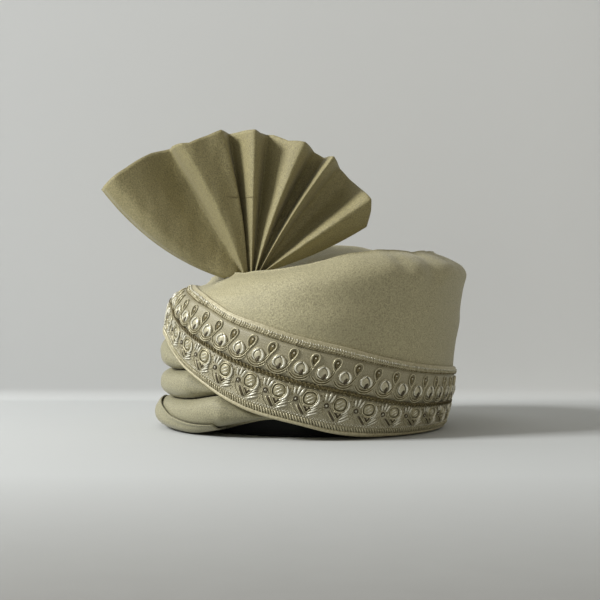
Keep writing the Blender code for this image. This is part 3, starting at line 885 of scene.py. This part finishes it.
# Embroidery drawn flat in millimetres, then laid on the border
class Flat:
    """Threads, beads and petals of one repeat, in millimetres: along, across and off the cloth.
    Its places are measured from a middle that stands up the tier."""

    def __init__(self, middle=0.0):
        self.middle = middle
        self.points = []
        self.faces = []

    def thread(self, path, width, lift=0.35, sides=5, closed=False, taper=0.0, height=None):
        """Rounded thread along a path, flatter than it is wide where a height is given."""
        path = np.array(path, float)
        if path.shape[1] == 2:
            path = np.column_stack([path, np.full(len(path), lift)])
        path[:, 1] += self.middle
        count = len(path)
        if closed:
            ahead = np.roll(path, -1, axis=0) - np.roll(path, 1, axis=0)
        else:
            ahead = np.gradient(path, axis=0)
        ahead[:, 2] = 0
        ahead /= np.maximum(np.linalg.norm(ahead, axis=1, keepdims=True), 1e-9)
        side = np.column_stack([-ahead[:, 1], ahead[:, 0], np.zeros(count)])
        start = len(self.points)
        half = width / 2
        tall = (height if height is not None else width) / 2
        for step in range(count):
            share = step / max(count - 1, 1)
            slim = 1.0 if closed else 1 - taper * abs(2 * share - 1) ** 2
            for corner in range(sides):
                turn = 2 * pi * corner / sides + pi / 2
                offset = side[step] * cos(turn) * half * slim
                self.points.append(path[step] + offset + np.array([0, 0, sin(turn) * tall * slim]))
        rows = count if closed else count - 1
        for step in range(rows):
            after = (step + 1) % count
            for corner in range(sides):
                beside = (corner + 1) % sides
                self.faces.append((start + step * sides + corner, start + step * sides + beside,
                                   start + after * sides + beside, start + after * sides + corner))
        if not closed:
            self.faces.append(tuple(start + corner for corner in range(sides - 1, -1, -1)))
            last = start + (count - 1) * sides
            self.faces.append(tuple(last + corner for corner in range(sides)))

    def dome(self, outline, middle, rise, lift=0.0, rings=3):
        """Padded shape under a closed outline, highest at its middle."""
        outline = np.array(outline, float) + (0, self.middle)
        middle = np.array(middle, float) + (0, self.middle)
        count = len(outline)
        start = len(self.points)
        for ring in range(rings):
            share = 1 - ring / rings
            high = lift + rise * (1 - share ** 2) ** 0.5
            for spot in outline:
                place = middle + (spot - middle) * share
                self.points.append(np.array([place[0], place[1], high]))
        self.points.append(np.array([middle[0], middle[1], lift + rise]))
        for ring in range(rings - 1):
            for corner in range(count):
                beside = (corner + 1) % count
                self.faces.append((start + ring * count + corner, start + ring * count + beside,
                                   start + (ring + 1) * count + beside, start + (ring + 1) * count + corner))
        tip = len(self.points) - 1
        last = start + (rings - 1) * count
        for corner in range(count):
            self.faces.append((last + corner, last + (corner + 1) % count, tip))
        self.faces.append(tuple(start + corner for corner in range(count - 1, -1, -1)))

    def bead(self, x, y, radius, height=None, lift=0.0, sides=6):
        turns = [2 * pi * corner / sides for corner in range(sides)]
        outline = [(x + radius * cos(turn), y + radius * sin(turn)) for turn in turns]
        self.dome(outline, (x, y), height or radius, lift, 2)

    def beads_along(self, path, pitch, radius, lift=0.2):
        """Small beads at an even pitch along a path."""
        path = np.array(path, float)
        steps = np.linalg.norm(np.diff(path, axis=0), axis=1)
        lengths = np.concatenate([[0], np.cumsum(steps)])
        count = max(int(round(lengths[-1] / pitch)), 2)
        for spot in np.linspace(0, lengths[-1], count + 1):
            self.bead(np.interp(spot, lengths, path[:, 0]), np.interp(spot, lengths, path[:, 1]), radius,
                      lift=lift, sides=5)

    def object(self, name):
        mesh = bpy.data.meshes.new(name)
        mesh.from_pydata([tuple(point / 1000) for point in self.points], [], self.faces)
        mesh.validate()
        mesh.shade_smooth()
        return bpy.data.objects.new(name, mesh)


def curve_through(spots, steps=6, closed=False):
    """Smooth path through chosen points."""
    spots = np.array(spots, float)
    count = len(spots)
    path = []
    last = count if closed else count - 1
    for index in range(last):
        before = spots[(index - 1) % count] if closed or index > 0 else spots[0]
        here = spots[index]
        there = spots[(index + 1) % count]
        beyond = spots[(index + 2) % count] if closed or index + 2 < count else spots[-1]
        for step in range(steps):
            t = step / steps
            bend = 2 * before - 5 * here + 4 * there - beyond
            twist = 3 * here - before - 3 * there + beyond
            path.append(0.5 * (2 * here + (there - before) * t + bend * t ** 2 + twist * t ** 3))
    if not closed:
        path.append(spots[-1])
    return path


def repeat_tree():
    """Node tree that repeats one unit along a straight line, a little uneven, as by hand."""
    tree = bpy.data.node_groups.new("repeat_along", "GeometryNodeTree")
    tree.interface.new_socket("Geometry", in_out="OUTPUT", socket_type="NodeSocketGeometry")
    for label, kind in (("Unit", "Object"), ("Count", "Int"), ("Pitch", "Float"), ("Start", "Float"),
                        ("Least", "Float"), ("Most", "Float"), ("Seed", "Int"), ("Finish", "Material")):
        tree.interface.new_socket(label, in_out="INPUT", socket_type="NodeSocket" + kind)
    given = tree.nodes.new("NodeGroupInput").outputs

    def add(kind, links, output=0, **settings):
        made = tree.nodes.new(kind)
        for label, value in settings.items():
            setattr(made, label, value)
        for label, source in links.items():
            tree.links.new(source, made.inputs[label])
        return made.outputs[output]

    step = add("ShaderNodeCombineXYZ", {"X": given["Pitch"]})
    first = add("ShaderNodeCombineXYZ", {"X": given["Start"]})
    line = add("GeometryNodeMeshLine", {"Count": given["Count"], "Offset": step, "Start Location": first},
               mode="OFFSET")
    unit = add("GeometryNodeObjectInfo", {"Object": given["Unit"]}, "Geometry")
    size = add("FunctionNodeRandomValue", {0: given["Least"], 1: given["Most"], "Seed": given["Seed"]},
               data_type="FLOAT_VECTOR")
    row = add("GeometryNodeInstanceOnPoints", {"Points": line, "Instance": unit, "Scale": size})
    real = add("GeometryNodeRealizeInstances", {0: row})
    dressed = add("GeometryNodeSetMaterial", {"Geometry": real, "Material": given["Finish"]})
    tree.links.new(dressed, tree.nodes.new("NodeGroupOutput").inputs[0])
    return tree


REPEAT = repeat_tree()


ROW_SEED = 3


def repeat_unit(name, flat, count, pitch, start, material, unevenness):
    """Mesh of a unit repeated along a straight line, in flat metres."""
    unit = flat.object(name + "_unit")
    bpy.context.scene.collection.objects.link(unit)
    holder = bpy.data.objects.new(name + "_row", bpy.data.meshes.new(name + "_row"))
    bpy.context.scene.collection.objects.link(holder)
    modifier = holder.modifiers.new("repeat", "NODES")
    modifier.node_group = REPEAT
    values = {"Unit": unit, "Count": count, "Pitch": pitch, "Start": start, "Least": 1 - unevenness,
              "Most": 1 + unevenness, "Seed": ROW_SEED, "Finish": material}
    for item in REPEAT.interface.items_tree:
        if item.in_out == "INPUT":
            modifier[item.identifier] = values[item.name]
    graph = bpy.context.evaluated_depsgraph_get()
    mesh = bpy.data.meshes.new_from_object(holder.evaluated_get(graph), depsgraph=graph)
    holder.modifiers.remove(modifier)
    bpy.data.objects.remove(holder)
    bpy.data.objects.remove(unit)
    mesh.name = name
    return mesh


def lay_on_border(mesh, tier, base, middle, height_mm):
    """Moves a flat mesh onto the border, its across values taken as a share of the width."""
    flat = points_in(mesh)
    across = (flat[:, 1] + middle) * 1000 / height_mm
    places = on_border(tier, flat[:, 0], across, GAP + base + flat[:, 2])
    mesh.vertices.foreach_set("co", places.astype(np.float32).ravel())
    mesh.update()
    mesh.shade_smooth()
    return mesh


def add_row(name, flat, tier, count, start, material, base, height_mm, unevenness=0.0):
    """Row of one unit round the whole border, its first one at a running length along it."""
    middle = np.array([0.0, float(np.mean([point[1] for point in flat.points])), 0.0])
    flat.points = [point - middle for point in flat.points]
    mesh = repeat_unit(name, flat, count, tier.total / count, start, material, unevenness)
    return add_piece(name, lay_on_border(mesh, tier, base, middle[1] / 1000, height_mm), material)


# Upper tier: onion buds with a slit, a stem under each and a beaded loop at its end
UPPER_MM = 31.3
UPPER_COUNT = 49
UPPER_START = 0.0075
BUD_Y = 10.3


def upper_units():
    """One onion bud with its stem and loop, sorted by thread."""
    pale, dark, pearl, black, field = [Flat(BUD_Y) for _ in range(5)]
    bud = curve_through([(-0.2, -5.0), (-3.8, -4.0), (-5.3, -1.2), (-4.6, 2.4), (-1.6, 4.9), (0.8, 4.6),
                         (3.6, 2.4), (4.5, -0.8), (3.0, -3.8)], 3, True)
    pale.thread(bud, 0.75, 0.45, 5, True, height=0.9)
    inner = curve_through([(-0.2, -4.4), (-3.2, -3.2), (-4.4, -0.8), (-3.6, 2.0), (-1.0, 4.0), (0.8, 3.6),
                           (2.8, 1.7), (3.6, -0.8), (2.4, -3.1)], 3, True)
    field.dome(inner, (-0.8, 0.2), 1.0, 0.1)
    left = curve_through([(-1.2, -3.6), (-3.6, -2.0), (-4.1, 0.6), (-2.6, 3.2), (-0.6, 4.4)], 4)
    pearl.thread(left, 1.5, 1.0, 6, taper=0.7, height=1.3)
    right = curve_through([(2.0, -3.4), (3.4, -1.6), (3.5, 0.6), (2.2, 2.9), (0.1, 4.3)], 4)
    pearl.thread(right, 2.0, 1.1, 6, taper=0.7, height=1.6)
    slit = [(-0.2, -5.0), (-0.9, -3.6), (-0.4, -1.4), (0.9, -0.1), (1.6, -0.8), (1.4, -3.0), (0.8, -4.8)]
    black.dome(slit, (0.4, -2.6), 0.35, 1.15, 2)
    loop = curve_through([(7.3, 2.6), (5.4, 5.2), (4.7, 8.0), (5.7, 11.1), (8.2, 12.3), (10.3, 11.0),
                          (10.5, 8.2), (9.2, 5.2)], 4, True)
    pale.thread(loop, 1.0, 0.5, 5, True, height=1.1)
    heart = curve_through([(7.4, 4.4), (6.2, 6.4), (5.9, 8.3), (6.6, 10.2), (8.1, 10.8), (9.2, 9.9),
                           (9.3, 8.2), (8.4, 6.0)], 2, True)
    dark.dome(heart, (7.7, 8.2), 0.3, 0.1, 2)
    pearl.bead(7.9, 8.9, 0.75, 0.6, 0.3)
    stem = [(9.0, 4.8), (8.0, 2.4), (6.7, -0.6), (4.9, -3.6), (2.2, -5.9), (-1.2, -6.9), (-4.4, -6.1),
            (-6.9, -3.8)]
    pale.thread(curve_through(stem, 4), 0.80, 0.45, 5, taper=0.15, height=0.9)
    twin = [(7.0, 3.6), (6.3, 1.4), (5.0, -1.0), (3.6, -3.0), (1.8, -4.6)]
    pale.thread(curve_through(twin, 4), 0.70, 0.4, 5, taper=0.2, height=0.8)
    # The dark core between the stem's two pale threads and the dark line beside the swag are painted shadow
    core = [(8.0, 4.0), (7.1, 1.8), (5.9, -0.8), (4.3, -3.3), (2.0, -5.3), (-1.2, -6.1), (-4.0, -5.4)]
    dark.thread(curve_through(core, 4), 0.70, 0.12, 4, taper=0.3)
    swag = [(6.4, -4.0), (3.6, -7.0), (-0.6, -8.4), (-4.4, -7.8), (-7.4, -5.4), (-9.3, -2.4)]
    pale.thread(curve_through(swag, 4), 0.70, 0.38, 5, taper=0.2, height=0.8)
    shade = [(5.2, -4.4), (2.8, -6.6), (-0.9, -7.7), (-4.4, -7.0), (-7.4, -4.6)]
    dark.thread(curve_through(shade, 4), 0.65, 0.10, 4, taper=0.3)
    return pale, dark, pearl, black, field


for label, unit, material in zip(("outlines", "shadows", "petals", "slits", "fields"), upper_units(),
                                 (pale_thread, dark_thread, pearl_thread, black_thread, field_thread)):
    add_row("upper_motif_" + label, unit, UPPER, UPPER_COUNT, UPPER_START, material, LACE_WALL, UPPER_MM)

# Lower tier: ringed discs between sprays of straight stitches
LOWER_MM = 26.9
LOWER_COUNT = 35
LOWER_START = 0.0116
DISC_Y = 18.7


def stroke(flat, start, end, width, lift, height=None):
    """Straight stitch, thin at both ends."""
    path = [mix(np.array(start, float), np.array(end, float), share) for share in (0, 0.3, 0.7, 1)]
    flat.thread(path, width, lift, 6, taper=0.6, height=height)


def lower_units():
    """One ringed disc with the stitches round it, sorted by thread."""
    pale, dark, pearl, black, field = [Flat(DISC_Y) for _ in range(5)]
    disc = curve_through([(-0.2, -4.7), (-3.9, -3.6), (-5.2, -0.2), (-3.9, 3.4), (-0.2, 4.8), (3.5, 3.6),
                          (4.9, 0.0), (3.5, -3.6)], 3, True)
    pale.thread([(x * 1.02, y * 1.02) for x, y in disc], 0.85, 0.5, 5, True, height=1.0)
    pale.thread([(x * 1.22, y * 1.20) for x, y in disc], 0.60, 0.3, 4, True, height=0.7)
    dark.thread([(x * 1.12, y * 1.11) for x, y in disc], 0.50, 0.08, 4, True)
    field.dome([(x * 0.93, y * 0.93) for x, y in disc], (0, 0), 0.7, 0.15)
    for start, end in (((-2.9, 0.4), (0.4, 2.9)), ((-2.5, -1.9), (2.4, 1.9)), ((-0.6, -3.0), (2.9, -0.7))):
        stroke(pearl, start, end, 0.8, 0.85, 0.6)
    crescent = curve_through([(4.5, 3.8), (6.0, 1.4), (6.1, -1.6), (4.3, -4.5), (1.8, -5.8)], 3)
    pearl.thread(crescent, 1.5, 0.75, 6, taper=0.75, height=1.3)
    for start, end, width in (((-9.3, 1.0), (-8.6, 6.6), 1.7), ((-7.6, 0.2), (-5.4, 5.6), 1.8),
                              ((-11.4, 0.8), (-11.9, 5.4), 1.5)):
        stroke(pearl, start, end, width, 0.75, 1.3)
    eye = [(cos(2 * pi * k / 9) * 1.5 - 9.6, sin(2 * pi * k / 9) * 1.5 - 2.4) for k in range(9)]
    black.thread(eye, 0.8, 0.3, 5, True)
    pearl.bead(-9.6, -2.4, 0.8, 0.7, 0.2)
    stroke(black, (-7.2, -5.4), (-1.6, -11.2), 1.5, 0.3)
    stroke(pale, (-8.2, -6.0), (-2.8, -11.8), 0.9, 0.5, 0.9)
    stroke(pale, (-5.9, -5.0), (-0.4, -10.6), 0.9, 0.5, 0.9)
    triangle = curve_through([(-3.0, -5.3), (0.2, -5.0), (2.8, -5.5), (1.3, -7.6), (0.0, -9.0),
                              (-1.5, -7.5)], 2, True)
    black.dome(triangle, (-0.1, -6.6), 0.35, 0.15, 2)
    pale.thread([(x * 1.16, (y + 6.8) * 1.16 - 6.8) for x, y in triangle], 0.65, 0.4, 4, True, height=0.8)
    pale.bead(0.0, -6.3, 0.7, 0.5, 0.4)
    for start, end, width in (((1.2, -9.8), (7.2, -5.6), 1.4), ((0.8, -11.5), (8.2, -7.6), 1.2),
                              ((3.0, -7.2), (6.8, -3.9), 1.0)):
        stroke(pearl, start, end, width, 0.7, 1.2)
    trail = curve_through([(-11.4, -4.4), (-10.4, -7.4), (-8.6, -9.4), (-6.0, -11.4)], 4)
    pale.beads_along(trail, 1.2, 0.5, 0.2)
    link = curve_through([(8.4, -5.6), (10.0, -4.6), (10.9, -3.0)], 4)
    pale.beads_along(link, 1.2, 0.5, 0.2)
    for x, y in ((-5.6, 7.0), (-2.6, 7.2), (1.2, 6.9), (5.4, 6.4), (7.9, 5.0), (8.2, 1.6), (7.9, -1.8),
                 (-7.4, -3.4), (9.6, -8.6), (9.9, 7.0), (-10.2, 7.2), (-4.0, -6.4), (-3.2, -8.0),
                 (8.6, -10.4), (10.4, -6.4)):
        pale.bead(x, y, 0.55, 0.5, 0.1)
    for x, y in ((7.0, 3.2), (9.2, 3.4), (9.4, 0.0), (-5.9, -3.4), (3.4, 7.0), (-0.8, 6.9)):
        dark.bead(x, y, 0.6, 0.2, 0.05)
    return pale, dark, pearl, black, field


for label, unit, material in zip(("outlines", "bars", "stitches", "eyes", "discs"), lower_units(),
                                 (pale_thread, dark_thread, pearl_thread, black_thread, mid_thread)):
    add_row("lower_motif_" + label, unit, LOWER, LOWER_COUNT, LOWER_START, material, LACE_WALL, LOWER_MM)


# Edge trims: chain rows on the tape, twisted cord, stippled row, hatch braid and piping
def build_cord_core(name, tier, share, radius, sides=10):
    """Round cord on a line of the border."""
    along = np.linspace(0, tier.total, BORDER_STEPS, endpoint=False)
    width = float(np.mean(tier.widths))
    rings = []
    for turn in (2 * pi * corner / sides for corner in range(sides)):
        lift = np.full(BORDER_STEPS, GAP + radius * (1 + cos(turn)))
        rings.append(on_border(tier, along, share + sin(turn) * radius / width, lift))
    return closed_loft(name, rings, stacked=True)


def slanted_unit(y_low, y_high, lean, width, height, lift=0.3):
    unit = Flat()
    path = [(mix(-lean / 2, lean / 2, share), mix(y_low, y_high, share)) for share in (0, 0.33, 0.67, 1)]
    unit.thread(path, width, lift, 6, taper=0.5, height=height)
    return unit


add_piece("tape_rolled_edge", build_cord_core("tape_rolled_edge", UPPER, 0.972, 0.0009, 8), tape_cloth)
TAPE_COUNT = 390
# The groove row is dark thread laid as painted shade in the tape's groove
for label, low, high, lean, lift, material in (("high", 28.9, 27.7, 1.1, 0.45, pearl_thread),
                                               ("low", 26.2, 27.4, 1.1, 0.45, pale_thread),
                                               ("groove", 25.0, 25.6, 1.3, 0.10, dark_thread)):
    add_row("tape_chain_" + label, slanted_unit(low, high, lean, 0.95, 1.0, lift), UPPER, TAPE_COUNT, 0.0,
            material, 0.0017, UPPER_MM, 0.38)


def cord_unit(pitch_mm, reach, width, phase):
    """One strand of a chain of crossing waves, for one pitch."""
    unit = Flat()
    path = []
    for share in np.linspace(0, 1, 13):
        turn = 2 * pi * share + phase
        path.append((share * pitch_mm, cos(turn) * reach, 1.2 + sin(turn) * 0.35))
    unit.thread(path, width)
    return unit


add_piece("middle_cord_core", build_cord_core("middle_cord", UPPER, 0.0, 0.0008), cord_thread, "middle_braid")
CORD_COUNT = 130
cord_pitch = UPPER.total / CORD_COUNT * 1000
for label, phase in (("first", 0.0), ("second", pi)):
    add_row("middle_cord_" + label, cord_unit(cord_pitch, 1.25, 0.85, phase), UPPER, CORD_COUNT, 0.0,
            chain_thread, 0.0008, UPPER_MM)

add_piece("edge_piping_cloth", build_cord_core("edge_piping", LOWER, 0.030, 0.0012), tape_cloth,
          "edge_piping")
HATCH_COUNT = 370
add_row("hatch_braid", slanted_unit(1.9, 5.4, -2.2, 1.25, 1.3, 0.5), LOWER, HATCH_COUNT, 0.0, pale_thread,
        0.0014, LOWER_MM, 0.12)
stipple = Flat()
stipple.bead(0.0, 6.3, 0.6, 0.6)
stipple.bead(1.1, 7.2, 0.45, 0.5)
add_row("stippled_row", stipple, LOWER, HATCH_COUNT, 0.0, pearl_thread, 0.0015, LOWER_MM, unevenness=0.25)


# Pleated fan
FAN_STEPS = 5
FAN_ROWS = 46
FAN_WALL = 0.0006
FAN_FULL_DEPTH = 0.71
FAN_LUMPS = (
    Lump(0.010, 31, (0.7, 1.0, 3.2), 0.0005),
    Lump(0.030, 32, (1, 1, 1), 0.0008),
)


def fan_profile():
    """Fold values at fine columns, rounded over every ridge and in every valley."""
    keys, lengths, bows, _, roots = zip(*FOLDS)
    degrees = []
    for before, after in zip(keys[:-1], keys[1:]):
        degrees += list(np.linspace(before, after, FAN_STEPS, endpoint=False))
    degrees.append(keys[-1])
    lengths, bows, roots = [np.interp(degrees, keys, values) for values in (lengths, bows, roots)]
    depths = read_table(FOLDS, "depth", degrees)
    return [Fold(*values) for values in zip(degrees, lengths, bows, depths, roots)]


def crown_top_height(x, y):
    """Height of the crown's top under a point."""
    last = LEVELS[-1]
    across = (x - TOP_MIDDLE_X) / (CROWN_HALF_WIDTH * last.width)
    deep = y / (CROWN_HALF_DEPTH * last.depth)
    angle = np.arctan2(deep, across)
    reach = np.hypot(across, deep)
    return crown_top(np.array([angle]), float(min(reach, 1)))[0][2]


def build_fan():
    """Pleated cloth of the fan: each fold runs up its stem, out to its tip and deepens on the way."""
    points = []
    for fold in fan_profile():
        stem_x = FAN_X + fold.root * FAN_STEM_WIDTH
        fold_depth = FAN_FOLD_DEPTH * fold.depth
        tilt = radians(fold.degrees)
        length = FAN_LENGTH * fold.length
        tip = np.array([FAN_X + sin(tilt) * length, FAN_Z + cos(tilt) * length])
        slant = min(fold.root + 0.5, 0) * FAN_ROOT_SLANT
        root = np.array([stem_x, FAN_Z + slant])
        side = np.array([cos(tilt), -sin(tilt)])
        foot_y = FAN_Y - fold_depth * 0.3
        foot = np.array([stem_x, foot_y, crown_top_height(stem_x, foot_y) + 0.0008])
        head = np.array([root[0], FAN_Y - fold_depth * 0.3, root[1]])
        line = [mix(foot, head, share) for share in (0, 0.35, 0.7)]
        for share in np.linspace(0, 1, FAN_ROWS):
            x, z = mix(root, tip, share) + side * fold.bow * length * 4 * share * (1 - share)
            y = FAN_Y - fold_depth * mix(0.3, 1, float(ease(share / FAN_FULL_DEPTH)))
            line.append(np.array([x, y, z]))
        points.append(line)
    grid = np.array(points)
    grid[..., 1] += cloth_lumps(grid, FAN_LUMPS)
    front = grid - (0, FAN_WALL, 0)
    back = grid + (0, FAN_WALL, 0)
    rings = np.concatenate([front, back[:, ::-1]], axis=1)
    columns, count = rings.shape[:2]
    faces = grid_faces(columns, count)
    for first in (0, (columns - 1) * count):
        for step in range(count // 2 - 1):
            across = first + count - 2 - step
            faces.append((first + step, first + step + 1, across, across + 1))
    return plain_mesh("pleated_fan", rings.reshape(-1, 3), faces)


fan = add_piece("fan_cloth", build_fan(), fan_cloth, "pleated_fan")


def build_fan_dark_lines(mesh):
    """Two short flat dark thread lines across the third pleat."""
    tree = BVHTree.FromPolygons([vertex.co[:] for vertex in mesh.vertices],
                                [face.vertices[:] for face in mesh.polygons])
    flat = Flat()
    for first, last, height in ((-0.0615, -0.0520, 0.1773), (-0.0505, -0.0395, 0.1770)):
        path = []
        for x in np.linspace(first, last, 10):
            spot = tree.ray_cast(Vector((x, -0.3, height)), Vector((0, 1, 0)))[0]
            path.append((spot.x * 1000, spot.z * 1000, -spot.y * 1000 + 0.15))
        flat.thread(path, 0.55, taper=0.4)
    mesh = flat.object("fan_stitches").data
    x, y, z = points_in(mesh).T
    mesh.vertices.foreach_set("co", points_of(x, -z, y).ravel())
    return mesh


add_piece("fan_stitches", build_fan_dark_lines(fan.data), dark_thread)


# Stage and lights
def stage_finish():
    """Pale paint with painted shade: darker at the wall's left and towards the table's front. A wall of it is
    clear from behind, so that the turban shows from all sides.
    """
    finish = Finish("stage_paint", 0.75, Specular_IOR_Level=0.2)
    grain = finish.noise(finish.place(), 40.0, 3.0)
    spot = finish.node("TexCoord", output="Object")
    across, depth, height = [finish.node("SeparateXYZ", output=axis, Vector=spot) for axis in "XYZ"]
    # Painted shade: the wall's paint is darker at the left, set against the key light from the left, and
    # paler at the right
    wall = finish.blend(linear(183, 184, 183), linear(212, 213, 212), across.above(-0.36, 0.24))
    # Painted shade: the table's paint darkens towards the front
    near = (1.0 - depth.above(-0.62, -0.30)) * 0.9
    table = finish.blend(linear(191, 193, 192), linear(138, 137, 133), near)
    paint = finish.blend(table, wall, height.above(0.0, 0.012))
    finish.surface(finish.blend(paint, linear(200, 200, 198), grain * 0.1), 0.7 + grain * 0.1)
    behind = finish.node("NewGeometry", output="Backfacing")
    clear = finish.tree.nodes.new("ShaderNodeBsdfTransparent")
    merged = finish.tree.nodes.new("ShaderNodeMixShader")
    for index, source in enumerate((behind.socket, finish.shader.outputs[0], clear.outputs[0])):
        finish.tree.links.new(source, merged.inputs[index])
    finish.tree.links.new(merged.outputs[0], finish.tree.nodes["Material Output"].inputs[0])
    return finish.material


STAGE_SIDE = 9.0
WALL_Y = 0.252
CORNER = 0.012


def build_stage():
    """Table and wall in one sheet, with a small rounded corner between them."""
    profile = [(-STAGE_SIDE, 0.0), (-0.6, 0.0), (0.20, 0.0)]
    for turn in np.linspace(0, pi / 2, 9):
        profile.append((WALL_Y - CORNER + sin(turn) * CORNER, CORNER - cos(turn) * CORNER))
    profile += [(WALL_Y, 0.5), (WALL_Y, 3.4)]
    points = [(x, y, z) for x in (-STAGE_SIDE, STAGE_SIDE) for y, z in profile]
    count = len(profile)
    faces = [(step, count + step, count + step + 1, step + 1) for step in range(count - 1)]
    mesh = bpy.data.meshes.new("stage")
    mesh.from_pydata(points, [], faces)
    mesh.shade_smooth()
    mesh.materials.append(stage_finish())
    stage = bpy.data.objects.new("stage", mesh)
    bpy.context.scene.collection.objects.link(stage)


build_stage()


def soft_light(name, place, aim, size, watts, colour):
    data = bpy.data.lights.new(name, "AREA")
    data.shape = "RECTANGLE"
    data.size, data.size_y = size
    data.energy = watts
    data.color = colour
    lamp = bpy.data.objects.new(name, data)
    lamp.location = place
    lamp.rotation_euler = (Vector(aim) - Vector(place)).to_track_quat("-Z", "Y").to_euler()
    bpy.context.scene.collection.objects.link(lamp)


soft_light("key_light", (-1.75, -0.62, 1.25), (-0.05, 0.0, 0.1), (0.6, 0.6), 56.0, (0.985, 0.995, 1.0))
soft_light("top_light", (-0.5, -0.2, 1.7), (0.0, 0.1, 0.1), (1.0, 0.6), 2.5, (1.0, 1.0, 1.0))
soft_light("fill_light", (1.5, -1.0, 0.6), (0.05, 0.0, 0.06), (1.0, 1.0), 3.2, (1.0, 0.93, 0.76))
world = bpy.data.worlds.new("world")
world.use_nodes = True
background = world.node_tree.nodes["Background"]
background.inputs["Color"].default_value = (0.84, 0.81, 0.74, 1)
background.inputs["Strength"].default_value = 0.31
bpy.context.scene.world = world
bpy.context.scene.view_settings.view_transform = "Standard"
